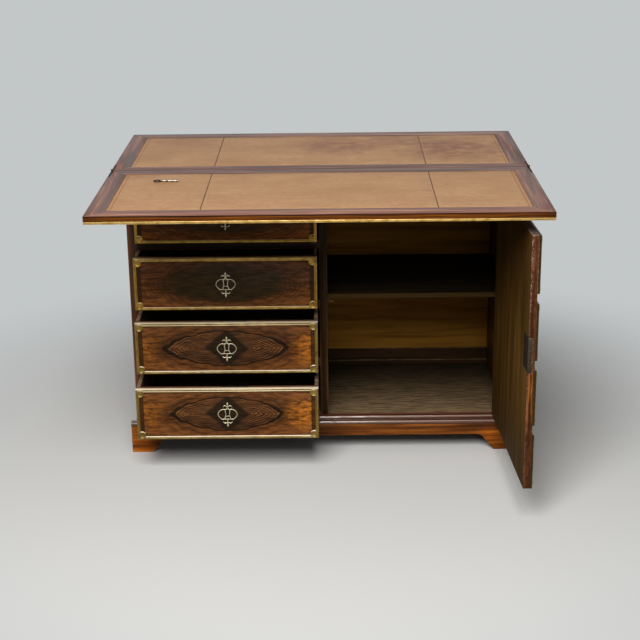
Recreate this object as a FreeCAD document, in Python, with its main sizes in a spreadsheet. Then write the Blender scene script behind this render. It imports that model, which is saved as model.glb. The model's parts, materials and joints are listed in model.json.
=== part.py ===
import FreeCAD, Part
import math
import operator
import os
import Sketcher
from types import SimpleNamespace

# Campaign desk: a plinth, a carcass with four drawers and a cupboard, and a top of two leaves.
# The front leaf folds over onto the rear one. The origin is on the floor under the middle of
# the fold, +X to the right, +Y to the back, +Z up, and every length is in millimetres.

# Driving dimensions, which fill the sheet
DIMENSIONS = {
    # top
    "top_width": 975.0,
    "leaf_depth": 414.0,
    "leaf_thick": 17.5,
    "top_height": 722.0,
    "overhang": 24.0,
    "fold_gap": 0.4,
    "end_border": 41.0,
    "fold_border": 39.0,
    "outer_border": 47.0,
    "panel_line": 249.0,
    "panel_gap": 1.2,
    "leather_thick": 1.0,
    "recess_depth": 1.2,
    "edging_leg": 8.0,
    "edging_height": 5.5,
    "edging_thick": 1.2,
    # hinges of the top
    "arm_length": 60.0,
    "arm_height": 10.5,
    "arm_thick": 5.0,
    "arm_drop": 0.5,
    "arm_halving": 7.0,
    "eye_radius": 4.0,
    "eye_gap": 0.2,
    "rivet_radius": 1.5,
    "rivet_gap": 0.05,
    "axis_rise": 0.2,
    # carcass
    "side_thick": 20.0,
    "divider_thick": 19.0,
    "divider_shift": 4.0,
    "bottom_thick": 20.0,
    "dust_thick": 10.0,
    "back_thick": 8.0,
    "frieze_thick": 20.0,
    "frieze_height": 22.5,
    "rail_thick": 20.0,
    "rail_depth": 60.0,
    "runner_width": 18.0,
    "shelf_top": 400.0,
    "shelf_thick": 12.0,
    "shelf_setback": 22.0,
    "cleat_size": 15.0,
    "cleat_setback": 40.0,
    "skirting_height": 44.0,
    "skirting_thick": 6.0,
    "ledge_size": 12.0,
    # plinth
    "plinth_height": 72.0,
    "plinth_projection": 14.0,
    "plinth_thick": 20.0,
    "arch_height": 41.0,
    "foot_width": 53.0,
    "foot_shoulder": 80.0,
    "foot_reach": 98.0,
    "shoulder_height": 34.0,
    "bead_step": 6.0,
    "bead_fillet": 1.6,
    # drawers
    "front_gap": 1.0,
    "drawer_gap": 0.7,
    "drawer_play": 4.0,
    "front_thick": 20.0,
    "box_thick": 9.0,
    "box_depth": 330.0,
    "box_drop": 2.0,
    "box_back_drop": 8.0,
    "base_thick": 6.0,
    "base_lift": 8.0,
    "running_gap": 0.3,
    "pull_1": 20.0,
    "pull_2": 71.0,
    "pull_3": 103.0,
    "pull_4": 147.0,
    # brass binding of the fronts
    "binding_leg": 7.5,
    "binding_depth": 10.0,
    "binding_thick": 1.5,
    "binding_proud": 2.0,
    "binding_round": 1.2,
    "lobe_radius": 9.6,
    "lobe_inset": 10.8,
    "lobe_proud": 0.4,
    # escutcheons
    "plate_thick": 1.6,
    "plate_drop": 1.7,
    "loop_radius": 13.5,
    "loop_offset": 9.5,
    "loop_width": 3.0,
    "stem_height": 25.0,
    "stem_foot": 14.0,
    "waist_radius": 16.0,
    "waist_width": 8.0,
    "key_radius": 3.0,
    "key_width": 3.8,
    "key_drop": 12.0,
    "key_rise": 8.0,
    "finial_reach": 28.5,
    "finial_width": 3.4,
    "ball_radius": 2.8,
    "leaf_radius": 5.6,
    "leaf_width": 2.4,
    "leaf_height": 18.0,
    # locks
    "lock_width": 65.0,
    "lock_thick": 9.0,
    "lock_height": 76.0,
    "lock_offset": 17.5,
    "bolt_width": 22.0,
    "bolt_thick": 4.0,
    "bolt_height": 24.0,
    "bolt_gap": 0.3,
    "bolt_throw": 5.0,
    # door
    "door_gap": 1.5,
    "door_angle": 93.0,
    "false_thick": 5.0,
    "panel_thick": 15.5,
    "hinge_margin": 2.5,
    "hinge_height": 60.0,
    "hinge_width": 16.0,
    "hinge_thick": 1.5,
    "hinge_inset": 75.0,
    "knuckle_radius": 3.5,
    "knuckle_gap": 0.3,
    "pin_radius": 1.5,
    "pin_gap": 0.05,
    "pin_standoff": 4.0,
    "door_lock_width": 53.0,
    "door_lock_height": 80.0,
    "door_lock_thick": 9.5,
    "door_lock_rise": 404.0,
    "door_bolt_length": 40.0,
    "door_bolt_height": 24.0,
    "door_bolt_throw": 8.0,
    # lopers
    "loper_width": 24.0,
    "loper_length": 330.0,
    "loper_gap": 0.5,
    "loper_pull": 250.0,
    "guide_width": 20.0,
    "knob_radius": 6.5,
    "knob_neck": 3.0,
    "knob_reach": 6.0,
    # every cut runs past the wood by this much
    "overrun": 5.0,
}

document = FreeCAD.newDocument("CampaignDesk")
sheet = document.addObject("Spreadsheet::Sheet", "Sizes")
for row, (alias, number) in enumerate(DIMENSIONS.items(), start=1):
    sheet.set(f"A{row}", alias)
    sheet.set(f"B{row}", str(number))
    sheet.setAlias(f"B{row}", alias)
document.recompute()


# Sizes that carry the sheet formula they come from
class Size:
    SIGNS = {"+": operator.add, "-": operator.sub, "*": operator.mul, "/": operator.truediv}

    def __init__(self, value, formula):
        self.value = value
        self.formula = formula

    def joined(self, sign, other, swapped=False):
        other = other if isinstance(other, Size) else Size(other, str(other))
        left, right = (other, self) if swapped else (self, other)
        value = self.SIGNS[sign](left.value, right.value)
        return Size(value, f"({left.formula} {sign} {right.formula})")

    def __add__(self, other):
        return self.joined("+", other)

    def __sub__(self, other):
        return self.joined("-", other)

    def __mul__(self, other):
        return self.joined("*", other)

    def __rmul__(self, other):
        return self.joined("*", other, swapped=True)

    def __truediv__(self, other):
        return self.joined("/", other)

    def __neg__(self):
        return -1 * self


mm = SimpleNamespace(**{alias: Size(number, f"Sizes.{alias}") for alias, number in DIMENSIONS.items()})
ZERO = Size(0, "0")
DIAGONAL_SHARE = math.sqrt(0.5)
QUARTER_TURN = 90
nodes = []


# Solids and operations
def box(name, x, y, z):
    solid = document.addObject("Part::Box", name)
    for length, axis, (low, high) in zip(("Length", "Width", "Height"), "xyz", (x, y, z)):
        solid.setExpression(length, (high - low).formula)
        solid.setExpression(f"Placement.Base.{axis}", low.formula)
    return solid


TURN_TO_AXIS = {
    "x": FreeCAD.Rotation(FreeCAD.Vector(0, 1, 0), QUARTER_TURN),
    "y": FreeCAD.Rotation(FreeCAD.Vector(1, 0, 0), -QUARTER_TURN),
    "z": FreeCAD.Rotation(),
}


def rod(name, axis, radius, x, y, z):
    """A round bar along one axis: that axis gives a pair of ends, the others give its centre."""
    solid = document.addObject("Part::Cylinder", name)
    solid.Placement = FreeCAD.Placement(FreeCAD.Vector(), TURN_TO_AXIS[axis])
    solid.setExpression("Radius", radius.formula)
    for letter, place in zip("xyz", (x, y, z)):
        if letter == axis:
            low, high = place
            solid.setExpression("Height", (high - low).formula)
            place = low
        solid.setExpression(f"Placement.Base.{letter}", place.formula)
    return solid


def cut(name, base, *tools):
    result = document.addObject("Part::Cut", name)
    result.Base = base
    result.Tool = tools[0] if len(tools) == 1 else fuse(name + "_waste", *tools)
    return result


def fuse(name, *shapes):
    result = document.addObject("Part::MultiFuse", name)
    result.Shapes = list(shapes)
    result.Refine = True
    return result


def group(name, *shapes):
    result = document.addObject("Part::Compound", name)
    result.Links = list(shapes)
    return result


def move(item, x=ZERO, y=ZERO, z=ZERO):
    for axis, distance in zip("xyz", (x, y, z)):
        item.setExpression(f"Placement.Base.{axis}", distance.formula)
    return item


def keep(item):
    nodes.append(item)
    return item


def profile(name, plane, vertices, depth):
    """A padded outline. A vertex is (x, y), or (x, y, centre_x, turn) where an arc starts."""
    body = document.addObject("PartDesign::Body", name)
    sketch = body.newObject("Sketcher::SketchObject", name + "_outline")
    support = next(item for item in body.Origin.OriginFeatures if item.Role == plane)
    sketch.AttachmentSupport = (support, [""])
    sketch.MapMode = "FlatFace"
    ends = []
    for start, end in zip(vertices, vertices[1:] + vertices[:1]):
        first = FreeCAD.Vector(start[0].value, start[1].value)
        last = FreeCAD.Vector(end[0].value, end[1].value)
        if len(start) == 2:
            edge = sketch.addGeometry(Part.LineSegment(first, last))
            ends.append((edge, 1, 2))
            continue
        middle = (first + last) / 2
        chord = last - first
        centre_x = start[2].value
        centre_y = middle.y - (centre_x - middle.x) * chord.x / chord.y
        centre = FreeCAD.Vector(centre_x, centre_y)
        forward = start[3] > 0
        angles = [math.atan2(point.y - centre_y, point.x - centre_x) for point in (first, last)]
        low, high = angles if forward else reversed(angles)
        circle = Part.Circle(centre, FreeCAD.Vector(0, 0, 1), (first - centre).Length)
        edge = sketch.addGeometry(Part.ArcOfCircle(circle, low, high))
        ends.append((edge, 1, 2) if forward else (edge, 2, 1))
    for index, vertex in enumerate(vertices):
        edge, first_end, last_end = ends[index]
        before = ends[index - 1]
        sketch.addConstraint(Sketcher.Constraint("Coincident", before[0], before[2], edge, first_end))
        for kind, place in zip(("DistanceX", "DistanceY"), vertex[:2]):
            pin(sketch, kind, edge, first_end, place)
        if len(vertex) > 2:
            pin(sketch, "DistanceX", edge, 3, vertex[2])
    pad = body.newObject("PartDesign::Pad", name + "_pad")
    pad.Profile = sketch
    pad.setExpression("Length", depth.formula)
    return body


def pin(sketch, kind, edge, end, place):
    origin_edge, origin_point = -1, 1
    constraint = Sketcher.Constraint(kind, origin_edge, origin_point, edge, end, place.value)
    index = sketch.addConstraint(constraint)
    sketch.setExpression(f"Constraints[{index}]", place.formula)


def turned(item, angle):
    item.Placement = FreeCAD.Placement(FreeCAD.Vector(), FreeCAD.Rotation(FreeCAD.Vector(0, 0, 1), angle))
    return item


# Planes that the pieces share
half_top = mm.top_width / 2
case_half = half_top - mm.overhang
front = mm.overhang
back = mm.leaf_depth - mm.overhang
leaf_under = mm.top_height - mm.leaf_thick
side_in = case_half - mm.side_thick
divider_left = mm.divider_shift - mm.divider_thick / 2
divider_right = mm.divider_shift + mm.divider_thick / 2
panel_face = back - mm.back_thick
floor = mm.plinth_height + mm.bottom_thick
dust_top = leaf_under - mm.frieze_height
zone_top = dust_top - mm.dust_thick
ROWS = 4
opening_height = (zone_top - floor - (ROWS - 1) * mm.rail_thick) / ROWS
pitch = opening_height + mm.rail_thick
rail_back = front + mm.rail_depth


# Plinth: a front board that runs past the sides of the case, two boards flush with them, all sawn
# to bracket feet, and a plain board behind
plinth_half = case_half + mm.plinth_projection
plinth_face = front - mm.plinth_projection
plinth_rear = plinth_face + mm.plinth_thick


def bracket_board(name, plane, length, hidden):
    """A board with its lower edge sawn to two feet; its neighbour makes the hidden part of the first."""
    left_foot = mm.foot_width - hidden
    left_shoulder = mm.foot_shoulder - hidden
    left_reach = mm.foot_reach - hidden
    outline = [
        (ZERO, ZERO),
        (left_foot, ZERO),
        (left_shoulder, mm.shoulder_height, left_reach, -1),
        (left_reach, mm.arch_height),
        (length - mm.foot_reach, mm.arch_height, length - mm.foot_reach, -1),
        (length - mm.foot_shoulder, mm.shoulder_height),
        (length - mm.foot_width, ZERO),
        (length, ZERO),
        (length, mm.plinth_height),
        (ZERO, mm.plinth_height),
    ]
    return profile(name, plane, outline, mm.plinth_thick)


plinth_front = bracket_board("plinth_front", "XZ_Plane", 2 * plinth_half, ZERO)
keep(move(plinth_front, -plinth_half, plinth_rear))
side_length = back - plinth_rear
plinth_left = bracket_board("plinth_left", "YZ_Plane", side_length, mm.plinth_thick)
keep(move(plinth_left, -case_half, plinth_rear))
plinth_right = bracket_board("plinth_right", "YZ_Plane", side_length, mm.plinth_thick)
plinth_inside = case_half - mm.plinth_thick
keep(move(plinth_right, plinth_inside, plinth_rear))
keep(box("plinth_back", (-plinth_inside, plinth_inside), (back - mm.plinth_thick, back),
         (mm.arch_height, mm.plinth_height)))

# Base moulding: one bead as long as the plinth, and over it a flat and a second bead, as wide as the case
bead_height = (mm.bottom_thick - mm.bead_fillet) / 2
upper_reach = mm.plinth_projection - mm.bead_step
flat_low = mm.plinth_height + bead_height
flat_high = flat_low + mm.bead_fillet


def bead(name, half_length, reach, low):
    """A strip along the front of the case with a round nose."""
    outline = [(ZERO, ZERO), (reach, ZERO, reach, 1), (reach, bead_height), (ZERO, bead_height)]
    strip = turned(profile(name, "YZ_Plane", outline, 2 * half_length), 2 * QUARTER_TURN)
    return move(strip, half_length, front, low)


flat = box("moulding_flat", (-case_half, case_half), (front - upper_reach, front), (flat_low, flat_high))
upper_bead = bead("upper_bead", case_half, upper_reach, flat_high)
lower_bead = bead("lower_bead", plinth_half, mm.plinth_projection, mm.plinth_height)
keep(fuse("base_moulding", lower_bead, flat, upper_bead))

# Carcass boards
case_y = (front, panel_face)
keep(box("side_left", (-case_half, -side_in), (front, back), (mm.plinth_height, leaf_under)))
keep(box("bottom_board", (-side_in, side_in), case_y, (mm.plinth_height, floor)))
keep(box("back_panel", (-side_in, side_in), (panel_face, back), (mm.plinth_height, leaf_under)))

# Drawer fronts, one for all four drawers, drawn shut in the lowest opening
drawer_left = -side_in + mm.drawer_gap
drawer_right = divider_left - mm.drawer_play
drawer_middle = (drawer_left + drawer_right) / 2
face = front + mm.binding_proud
front_back = front + mm.front_thick
front_low = floor + mm.front_gap
front_high = floor + opening_height - mm.front_gap
plate_centre = (front_low + front_high) / 2 - mm.plate_drop
binding_back = front + mm.binding_depth

lock_middle = drawer_middle + mm.lock_offset
lock_x = (lock_middle - mm.lock_width / 2, lock_middle + mm.lock_width / 2)
lock_y = (front_back - mm.lock_thick, front_back)
lock_z = (front_high - mm.lock_height, front_high)
bolt_middle = lock_middle + mm.lock_offset
bolt_x = (bolt_middle - mm.bolt_width / 2, bolt_middle + mm.bolt_width / 2)
bolt_centre_y = front_back - mm.lock_thick / 2
bolt_y = (bolt_centre_y - mm.bolt_thick / 2, bolt_centre_y + mm.bolt_thick / 2)
bolt_z = (front_high - mm.bolt_height, front_high - mm.bolt_gap)


def wider(pair, extra):
    return (pair[0] - extra, pair[1] + extra)


thick = mm.binding_thick
front_fore = box("front_fore", (drawer_left + thick, drawer_right - thick), (face, binding_back),
                 (front_low + thick, front_high - thick))
front_rear = box("front_rear", (drawer_left, drawer_right), (binding_back, front_back),
                 (front_low, front_high))
front_blank = fuse("front_blank", front_fore, front_rear)
lock_mortise = box("lock_mortise", lock_x, (lock_y[0], lock_y[1] + mm.overrun),
                   (lock_z[0], lock_z[1] + mm.overrun))
key_way = rod("key_way", "y", mm.key_radius, drawer_middle, (face - mm.overrun, front_back),
              plate_centre + mm.key_rise)
drawer_front = cut("drawer_front", front_blank, lock_mortise, key_way)

# Drawer box: two sides and a back round a thin bottom, all on the runners
box_low = floor + mm.running_gap
box_high = floor + opening_height - mm.box_drop
box_back = front_back + mm.box_depth
inner_left = drawer_left + mm.box_thick
inner_right = drawer_right - mm.box_thick
base_low = box_low + mm.base_lift
base_high = base_low + mm.base_thick
box_y = (front_back, box_back)
drawer_box = group(
    "drawer_box",
    box("drawer_side_left", (drawer_left, inner_left), box_y, (box_low, box_high)),
    box("drawer_side_right", (inner_right, drawer_right), box_y, (box_low, box_high)),
    box("drawer_back", (inner_left, inner_right), (box_back - mm.box_thick, box_back),
        (base_high, box_high - mm.box_back_drop)),
    box("drawer_base", (inner_left, inner_right), box_y, (base_low, base_high)),
)


# Brass binding: an angle round the front with a round lobe soldered in each corner
def binding(name, x, z, depth):
    blank = box(name + "_blank", x, (front, front + depth), z)
    document.recompute()
    rounded = document.addObject("Part::Fillet", name + "_rounded")
    rounded.Base = blank
    on_face = [i for i, edge in enumerate(blank.Shape.Edges, start=1) if edge.BoundBox.YMax < face.value]
    radius = mm.binding_round.value
    rounded.Edges = [(i, radius, radius) for i in on_face]
    core = box(name + "_core", wider(x, -mm.binding_thick), (face, front + depth + mm.overrun),
               wider(z, -mm.binding_thick))
    window = box(name + "_window", wider(x, -mm.binding_leg), (front - mm.overrun, face + mm.overrun),
                 wider(z, -mm.binding_leg))
    angle = cut(name + "_angle", rounded, core, window)
    lobe_y = (front - mm.lobe_proud, face)
    corners = [(across, up) for across in wider(x, -mm.lobe_inset) for up in wider(z, -mm.lobe_inset)]
    lobes = [rod(f"{name}_lobe_{i}", "y", mm.lobe_radius, across, lobe_y, up)
             for i, (across, up) in enumerate(corners, start=1)]
    return fuse(name, angle, *lobes)


drawer_x = (drawer_left, drawer_right)
drawer_binding = binding("drawer_binding", drawer_x, (front_low, front_high), mm.binding_depth)


# Escutcheon: a waisted keyhole stem between two open loops, with a leaf and a ball above and below
def escutcheon(name, x, z):
    plate_y = (face - mm.plate_thick, face)
    through = (face - mm.plate_thick - mm.overrun, face + mm.overrun)
    inside = mm.loop_radius - mm.loop_width
    half_stem = mm.stem_height / 2
    metal = []
    for side, sign in (("left", -1), ("right", 1)):
        centre = x + sign * mm.loop_offset
        ring = rod(f"{name}_{side}_ring", "y", mm.loop_radius, centre, plate_y, z)
        hole = rod(f"{name}_{side}_hole", "y", inside, centre, through, z)
        reach = mm.loop_radius + mm.overrun
        beyond = (x, x + reach) if sign < 0 else (x - reach, x)
        half = box(f"{name}_{side}_half", beyond, through, (z - reach, z + reach))
        metal.append(cut(f"{name}_{side}_loop", ring, hole, half))
    stem_blank = box(name + "_stem_blank", (x - mm.stem_foot / 2, x + mm.stem_foot / 2), plate_y,
                     (z - half_stem, z + half_stem))
    waist = mm.waist_width / 2 + mm.waist_radius
    waists = [rod(f"{name}_waist_{i}", "y", mm.waist_radius, x + sign * waist, through, z)
              for i, sign in enumerate((-1, 1), start=1)]
    metal.append(cut(name + "_stem", stem_blank, *waists))
    half_finial = mm.finial_width / 2
    rise = mm.finial_reach
    spine_x = (x - half_finial, x + half_finial)
    metal.append(box(name + "_spine_top", spine_x, plate_y, (z + inside, z + rise)))
    metal.append(box(name + "_spine_foot", spine_x, plate_y, (z - rise, z - inside)))
    for end, sign in (("top", 1), ("foot", -1)):
        metal.append(rod(f"{name}_{end}_ball", "y", mm.ball_radius, x, plate_y, z + sign * rise))
        for side, hand in (("left", -1), ("right", 1)):
            label = f"{name}_{end}_{side}"
            across = x + hand * mm.leaf_radius
            height = z + sign * mm.leaf_height
            disc = rod(label + "_disc", "y", mm.leaf_radius, across, plate_y, height)
            hollow = rod(label + "_hollow", "y", mm.leaf_radius, across, through,
                         height - sign * mm.leaf_width)
            metal.append(cut(label + "_leaf", disc, hollow))
    eye = rod(name + "_eye", "y", mm.key_radius, x, through, z + mm.key_rise)
    half_key = mm.key_width / 2
    slot = box(name + "_slot", (x - half_key, x + half_key), through,
               (z + mm.key_rise - mm.key_drop, z + mm.key_rise))
    return cut(name, fuse(name + "_plate", *metal), eye, slot)


drawer_escutcheon = escutcheon("drawer_plate", drawer_middle, plate_centre)

# Drawer lock, let into the back of the front, with a bolt that rises into the rail above
bolt_room = box("bolt_room", wider(bolt_x, mm.bolt_gap), wider(bolt_y, mm.bolt_gap),
                (bolt_z[0] - mm.bolt_gap, front_high + mm.overrun))
drawer_lock = cut("drawer_lock", box("lock_case", lock_x, lock_y, lock_z), bolt_room)
drawer_bolt = box("drawer_bolt", bolt_x, bolt_y, bolt_z)

# The four drawers, the first at the top, each pulled out as far as its own size says
DRAWER_PIECES = {"front": drawer_front, "box": drawer_box, "binding": drawer_binding,
                 "escutcheon": drawer_escutcheon, "lock": drawer_lock, "bolt": drawer_bolt}
pulls = (mm.pull_1, mm.pull_2, mm.pull_3, mm.pull_4)
for number, pull in enumerate(pulls, start=1):
    for piece, pattern in DRAWER_PIECES.items():
        drawer = group(f"drawer_{number}_{piece}", pattern)
        keep(move(drawer, y=-pull, z=(ROWS - number) * pitch))

# Rails, runners and the board over the drawers, with mortises for the drawer bolts
mortise_x = wider(bolt_x, 2 * mm.bolt_gap)
mortise_y = wider(bolt_y, 2 * mm.bolt_gap)
bolt_rise = front_high + mm.bolt_throw + mm.bolt_gap
rails = []
runners = []
mortises = []
runner_y = (rail_back, panel_face)
for row in range(1, ROWS):
    low = floor + row * pitch - mm.rail_thick
    z = (low, low + mm.rail_thick)
    rail = box(f"rail_{row}_blank", (-side_in, divider_left), (front, rail_back), z)
    step = (row - 1) * pitch
    mortise = box(f"rail_{row}_mortise", mortise_x, mortise_y, (low - mm.overrun, bolt_rise + step))
    rails.append(cut(f"rail_{row}", rail, mortise))
    runners.append(box(f"runner_{row}_left", (-side_in, mm.runner_width - side_in), runner_y, z))
    runners.append(box(f"runner_{row}_right", (divider_left - mm.runner_width, divider_left), runner_y, z))
keep(group("drawer_rails", *rails))
keep(group("drawer_runners", *runners))
dust_blank = box("dust_blank", (-side_in, side_in), case_y, (zone_top, dust_top))
dust_mortise = box("dust_mortise", mortise_x, mortise_y,
                   (zone_top - mm.overrun, bolt_rise + (ROWS - 1) * pitch))
keep(cut("dust_board", dust_blank, dust_mortise))

# Door, drawn shut: a plain board with four false drawer fronts raised on its face
door_left = divider_right + mm.door_gap
door_right = side_in - mm.door_gap
door_low = front_low
door_high = zone_top - mm.front_gap
false_right = door_right - mm.hinge_margin
door_face = front + mm.false_thick
door_inside = door_face + mm.panel_thick
pin_x = side_in - mm.door_gap / 2
pin_y = front - mm.pin_standoff
hinge_rises = (door_low + mm.hinge_inset, door_high - mm.hinge_inset - mm.hinge_height)

door_lock_x = (door_left, door_left + mm.door_lock_width)
door_lock_y = (door_inside - mm.door_lock_thick, door_inside)
door_lock_z = (mm.door_lock_rise - mm.door_lock_height / 2, mm.door_lock_rise + mm.door_lock_height / 2)
door_bolt_x = (door_left + mm.bolt_gap, door_left + mm.door_bolt_length)
door_bolt_middle = door_inside - mm.door_lock_thick / 2
door_bolt_y = (door_bolt_middle - mm.bolt_thick / 2, door_bolt_middle + mm.bolt_thick / 2)
door_bolt_z = (mm.door_lock_rise - mm.door_bolt_height / 2, mm.door_lock_rise + mm.door_bolt_height / 2)
false_x = (door_left, false_right)


def open_door(item):
    """Turns a piece drawn shut about the hinge pin to the angle that the door stands open at."""
    turned(item, QUARTER_TURN)
    item.setExpression("Placement.Rotation.Angle", mm.door_angle.formula)
    cosine = f"cos({mm.door_angle.formula})"
    sine = f"sin({mm.door_angle.formula})"
    x, y = pin_x.formula, pin_y.formula
    item.setExpression("Placement.Base.x", f"{x} - {x} * {cosine} + {y} * {sine}")
    item.setExpression("Placement.Base.y", f"{y} - {x} * {sine} - {y} * {cosine}")
    return keep(item)


gain_x = (door_right - mm.hinge_thick, door_right + mm.overrun)
gain_y = (door_face - mm.overrun, front + mm.hinge_width)
gains = [box(f"door_gain_{i}", gain_x, gain_y, (low, low + mm.hinge_height))
         for i, low in enumerate(hinge_rises, start=1)]
door_mortise = box("door_lock_mortise", (door_lock_x[0] - mm.overrun, door_lock_x[1]),
                   (door_lock_y[0], door_lock_y[1] + mm.overrun), door_lock_z)
door_blank = box("door_blank", (door_left, door_right), (door_face, door_inside), (door_low, door_high))
open_door(cut("door_panel", door_blank, door_mortise, *gains))

false_fronts = []
false_bindings = []
false_plates = []
plate_shift = (door_left + false_right) / 2 - drawer_middle
false_pattern = box("false_pattern", wider(false_x, -thick), (face, door_face),
                    (front_low + thick, front_high - thick))
false_binding = binding("false_binding", false_x, (front_low, front_high), mm.false_thick)
for row in range(ROWS):
    rise = row * pitch
    false_fronts.append(move(group(f"false_front_{row}", false_pattern), z=rise))
    false_bindings.append(move(group(f"false_binding_{row}", false_binding), z=rise))
    false_plates.append(move(group(f"false_plate_{row}", drawer_escutcheon), x=plate_shift, z=rise))
open_door(group("false_fronts", *false_fronts))
open_door(group("door_bindings", *false_bindings))
open_door(group("door_escutcheons", *false_plates))

door_bolt_room = box("door_bolt_room", (door_left - mm.overrun, door_bolt_x[1] + mm.bolt_gap),
                     wider(door_bolt_y, mm.bolt_gap), wider(door_bolt_z, mm.bolt_gap))
open_door(cut("door_lock", box("door_lock_case", door_lock_x, door_lock_y, door_lock_z), door_bolt_room))
open_door(group("door_bolt", box("door_bolt_bar", door_bolt_x, door_bolt_y, door_bolt_z)))

# Door hinges: a plate and middle knuckle on the case, a plate and two knuckles on the door
plate_y = (pin_y, front + mm.hinge_width)
fixed_hinges = []
moving_hinges = []
side_gains = []
knuckle_share = 1 / 3
for i, low in enumerate(hinge_rises, start=1):
    high = low + mm.hinge_height
    first = low + mm.hinge_height * knuckle_share
    second = high - mm.hinge_height * knuckle_share
    gap = mm.knuckle_gap / 2
    side_plate = (side_in, side_in + mm.hinge_thick)
    side_gains.append(box(f"side_gain_{i}", (side_in - mm.overrun, side_plate[1]),
                          (front - mm.overrun, plate_y[1]), (low, high)))
    case_middle = (first + gap, second - gap)
    fixed_hinges.append(fuse(
        f"fixed_hinge_{i}",
        box(f"fixed_plate_{i}", side_plate, (front, plate_y[1]), (low, high)),
        box(f"fixed_neck_{i}", side_plate, (plate_y[0], front), case_middle),
        rod(f"fixed_knuckle_{i}", "z", mm.knuckle_radius, pin_x, pin_y, case_middle),
        rod(f"hinge_pin_{i}", "z", mm.pin_radius, pin_x, pin_y, (low, high)),
    ))
    door_plate = (door_right - mm.hinge_thick, door_right)
    ends = ((low, first - gap), (second + gap, high))
    moving = [box(f"moving_plate_{i}", door_plate, (door_face, plate_y[1]), (low, high))]
    for j, z in enumerate(ends, start=1):
        moving.append(box(f"moving_neck_{i}_{j}", door_plate, (plate_y[0], door_face), z))
        moving.append(rod(f"moving_knuckle_{i}_{j}", "z", mm.knuckle_radius, pin_x, pin_y, z))
    bore = rod(f"knuckle_bore_{i}", "z", mm.pin_radius + mm.pin_gap, pin_x, pin_y,
               (low - mm.overrun, high + mm.overrun))
    moving_hinges.append(cut(f"moving_hinge_{i}", fuse(f"moving_blank_{i}", *moving), bore))
keep(group("door_hinge_plates", *fixed_hinges))
open_door(group("door_hinge_leaves", *moving_hinges))
side_blank = box("side_right_blank", (side_in, case_half), (front, back), (mm.plinth_height, leaf_under))
keep(cut("side_right", side_blank, *side_gains))

# Divider, with a mortise for the door bolt
divider_blank = box("divider_blank", (divider_left, divider_right), case_y, (floor, zone_top))
mortise_end = divider_right - mm.door_bolt_throw - mm.bolt_gap
divider_mortise = box("divider_mortise", (mortise_end, divider_right + mm.overrun),
                      wider(door_bolt_y, 2 * mm.bolt_gap), wider(door_bolt_z, 2 * mm.bolt_gap))
keep(cut("divider", divider_blank, divider_mortise))

# Cupboard: a shelf on two cleats, and a skirting with a ledge along the foot of the back
shelf_under = mm.shelf_top - mm.shelf_thick
cleat_y = (front + mm.cleat_setback, panel_face)
cleat_z = (shelf_under - mm.cleat_size, shelf_under)
keep(box("shelf", (divider_right, side_in), (front + mm.shelf_setback, panel_face),
         (shelf_under, mm.shelf_top)))
keep(group("shelf_cleats",
           box("cleat_left", (divider_right, divider_right + mm.cleat_size), cleat_y, cleat_z),
           box("cleat_right", (side_in - mm.cleat_size, side_in), cleat_y, cleat_z)))
ledge_x = (divider_right, side_in)
keep(fuse("back_ledge",
          box("skirting", ledge_x, (panel_face - mm.skirting_thick, panel_face),
              (floor, floor + mm.skirting_height)),
          box("ledge", ledge_x, (panel_face - mm.ledge_size, panel_face), (floor, floor + mm.ledge_size))))

# Frieze: two lopers slide beside the sides and carry the open leaf, between guides and a rail
loper_out = side_in - mm.loper_gap
loper_in = loper_out - mm.loper_width
guide_out = loper_in - mm.loper_gap
guide_in = guide_out - mm.guide_width
frieze_back = front + mm.frieze_thick
frieze_z = (dust_top, leaf_under)
keep(box("frieze_rail", (-guide_out, guide_out), (front, frieze_back), frieze_z))
keep(group("loper_guides",
           box("guide_left", (-guide_out, -guide_in), (frieze_back, panel_face), frieze_z),
           box("guide_right", (guide_in, guide_out), (frieze_back, panel_face), frieze_z)))
loper_z = wider(frieze_z, -mm.running_gap)
knob_z = (dust_top + leaf_under) / 2
for side, x in (("left", (-loper_out, -loper_in)), ("right", (loper_in, loper_out))):
    middle = (x[0] + x[1]) / 2
    bar = box(f"loper_{side}_bar", x, (front, front + mm.loper_length), loper_z)
    neck = rod(f"loper_{side}_neck", "y", mm.knob_neck, middle, (front - mm.knob_reach, front), knob_z)
    ball = document.addObject("Part::Sphere", f"loper_{side}_ball")
    ball.setExpression("Radius", mm.knob_radius.formula)
    move(ball, middle, front - mm.knob_reach - mm.knob_radius * DIAGONAL_SHARE, knob_z)
    knob = fuse(f"loper_{side}_knob", neck, ball)
    keep(move(group(f"loper_{side}", bar, knob), y=-mm.loper_pull))

# Top: two leaves with leather panels let in, hinged at the ends of the fold
arm_top = mm.top_height - mm.arm_drop
arm_z = (arm_top - mm.arm_height, arm_top)
axis_z = mm.top_height + mm.axis_rise
half_arm = (mm.arm_thick - mm.eye_gap) / 2
recess_z = (mm.top_height - mm.recess_depth, mm.top_height + mm.overrun)
leather_z = (mm.top_height - mm.recess_depth, mm.top_height - mm.recess_depth + mm.leather_thick)
leather_half = half_top - mm.end_border
leather_y = (mm.fold_border, mm.leaf_depth - mm.outer_border)
half_gap = mm.panel_gap / 2
panel_places = (
    (-leather_half, -mm.panel_line - half_gap),
    (half_gap - mm.panel_line, mm.panel_line - half_gap),
    (mm.panel_line + half_gap, leather_half),
)


def across(pair, sign):
    """A pair of places that runs away from the middle, on the side that the sign says."""
    return pair if sign > 0 else (-pair[1], -pair[0])


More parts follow.
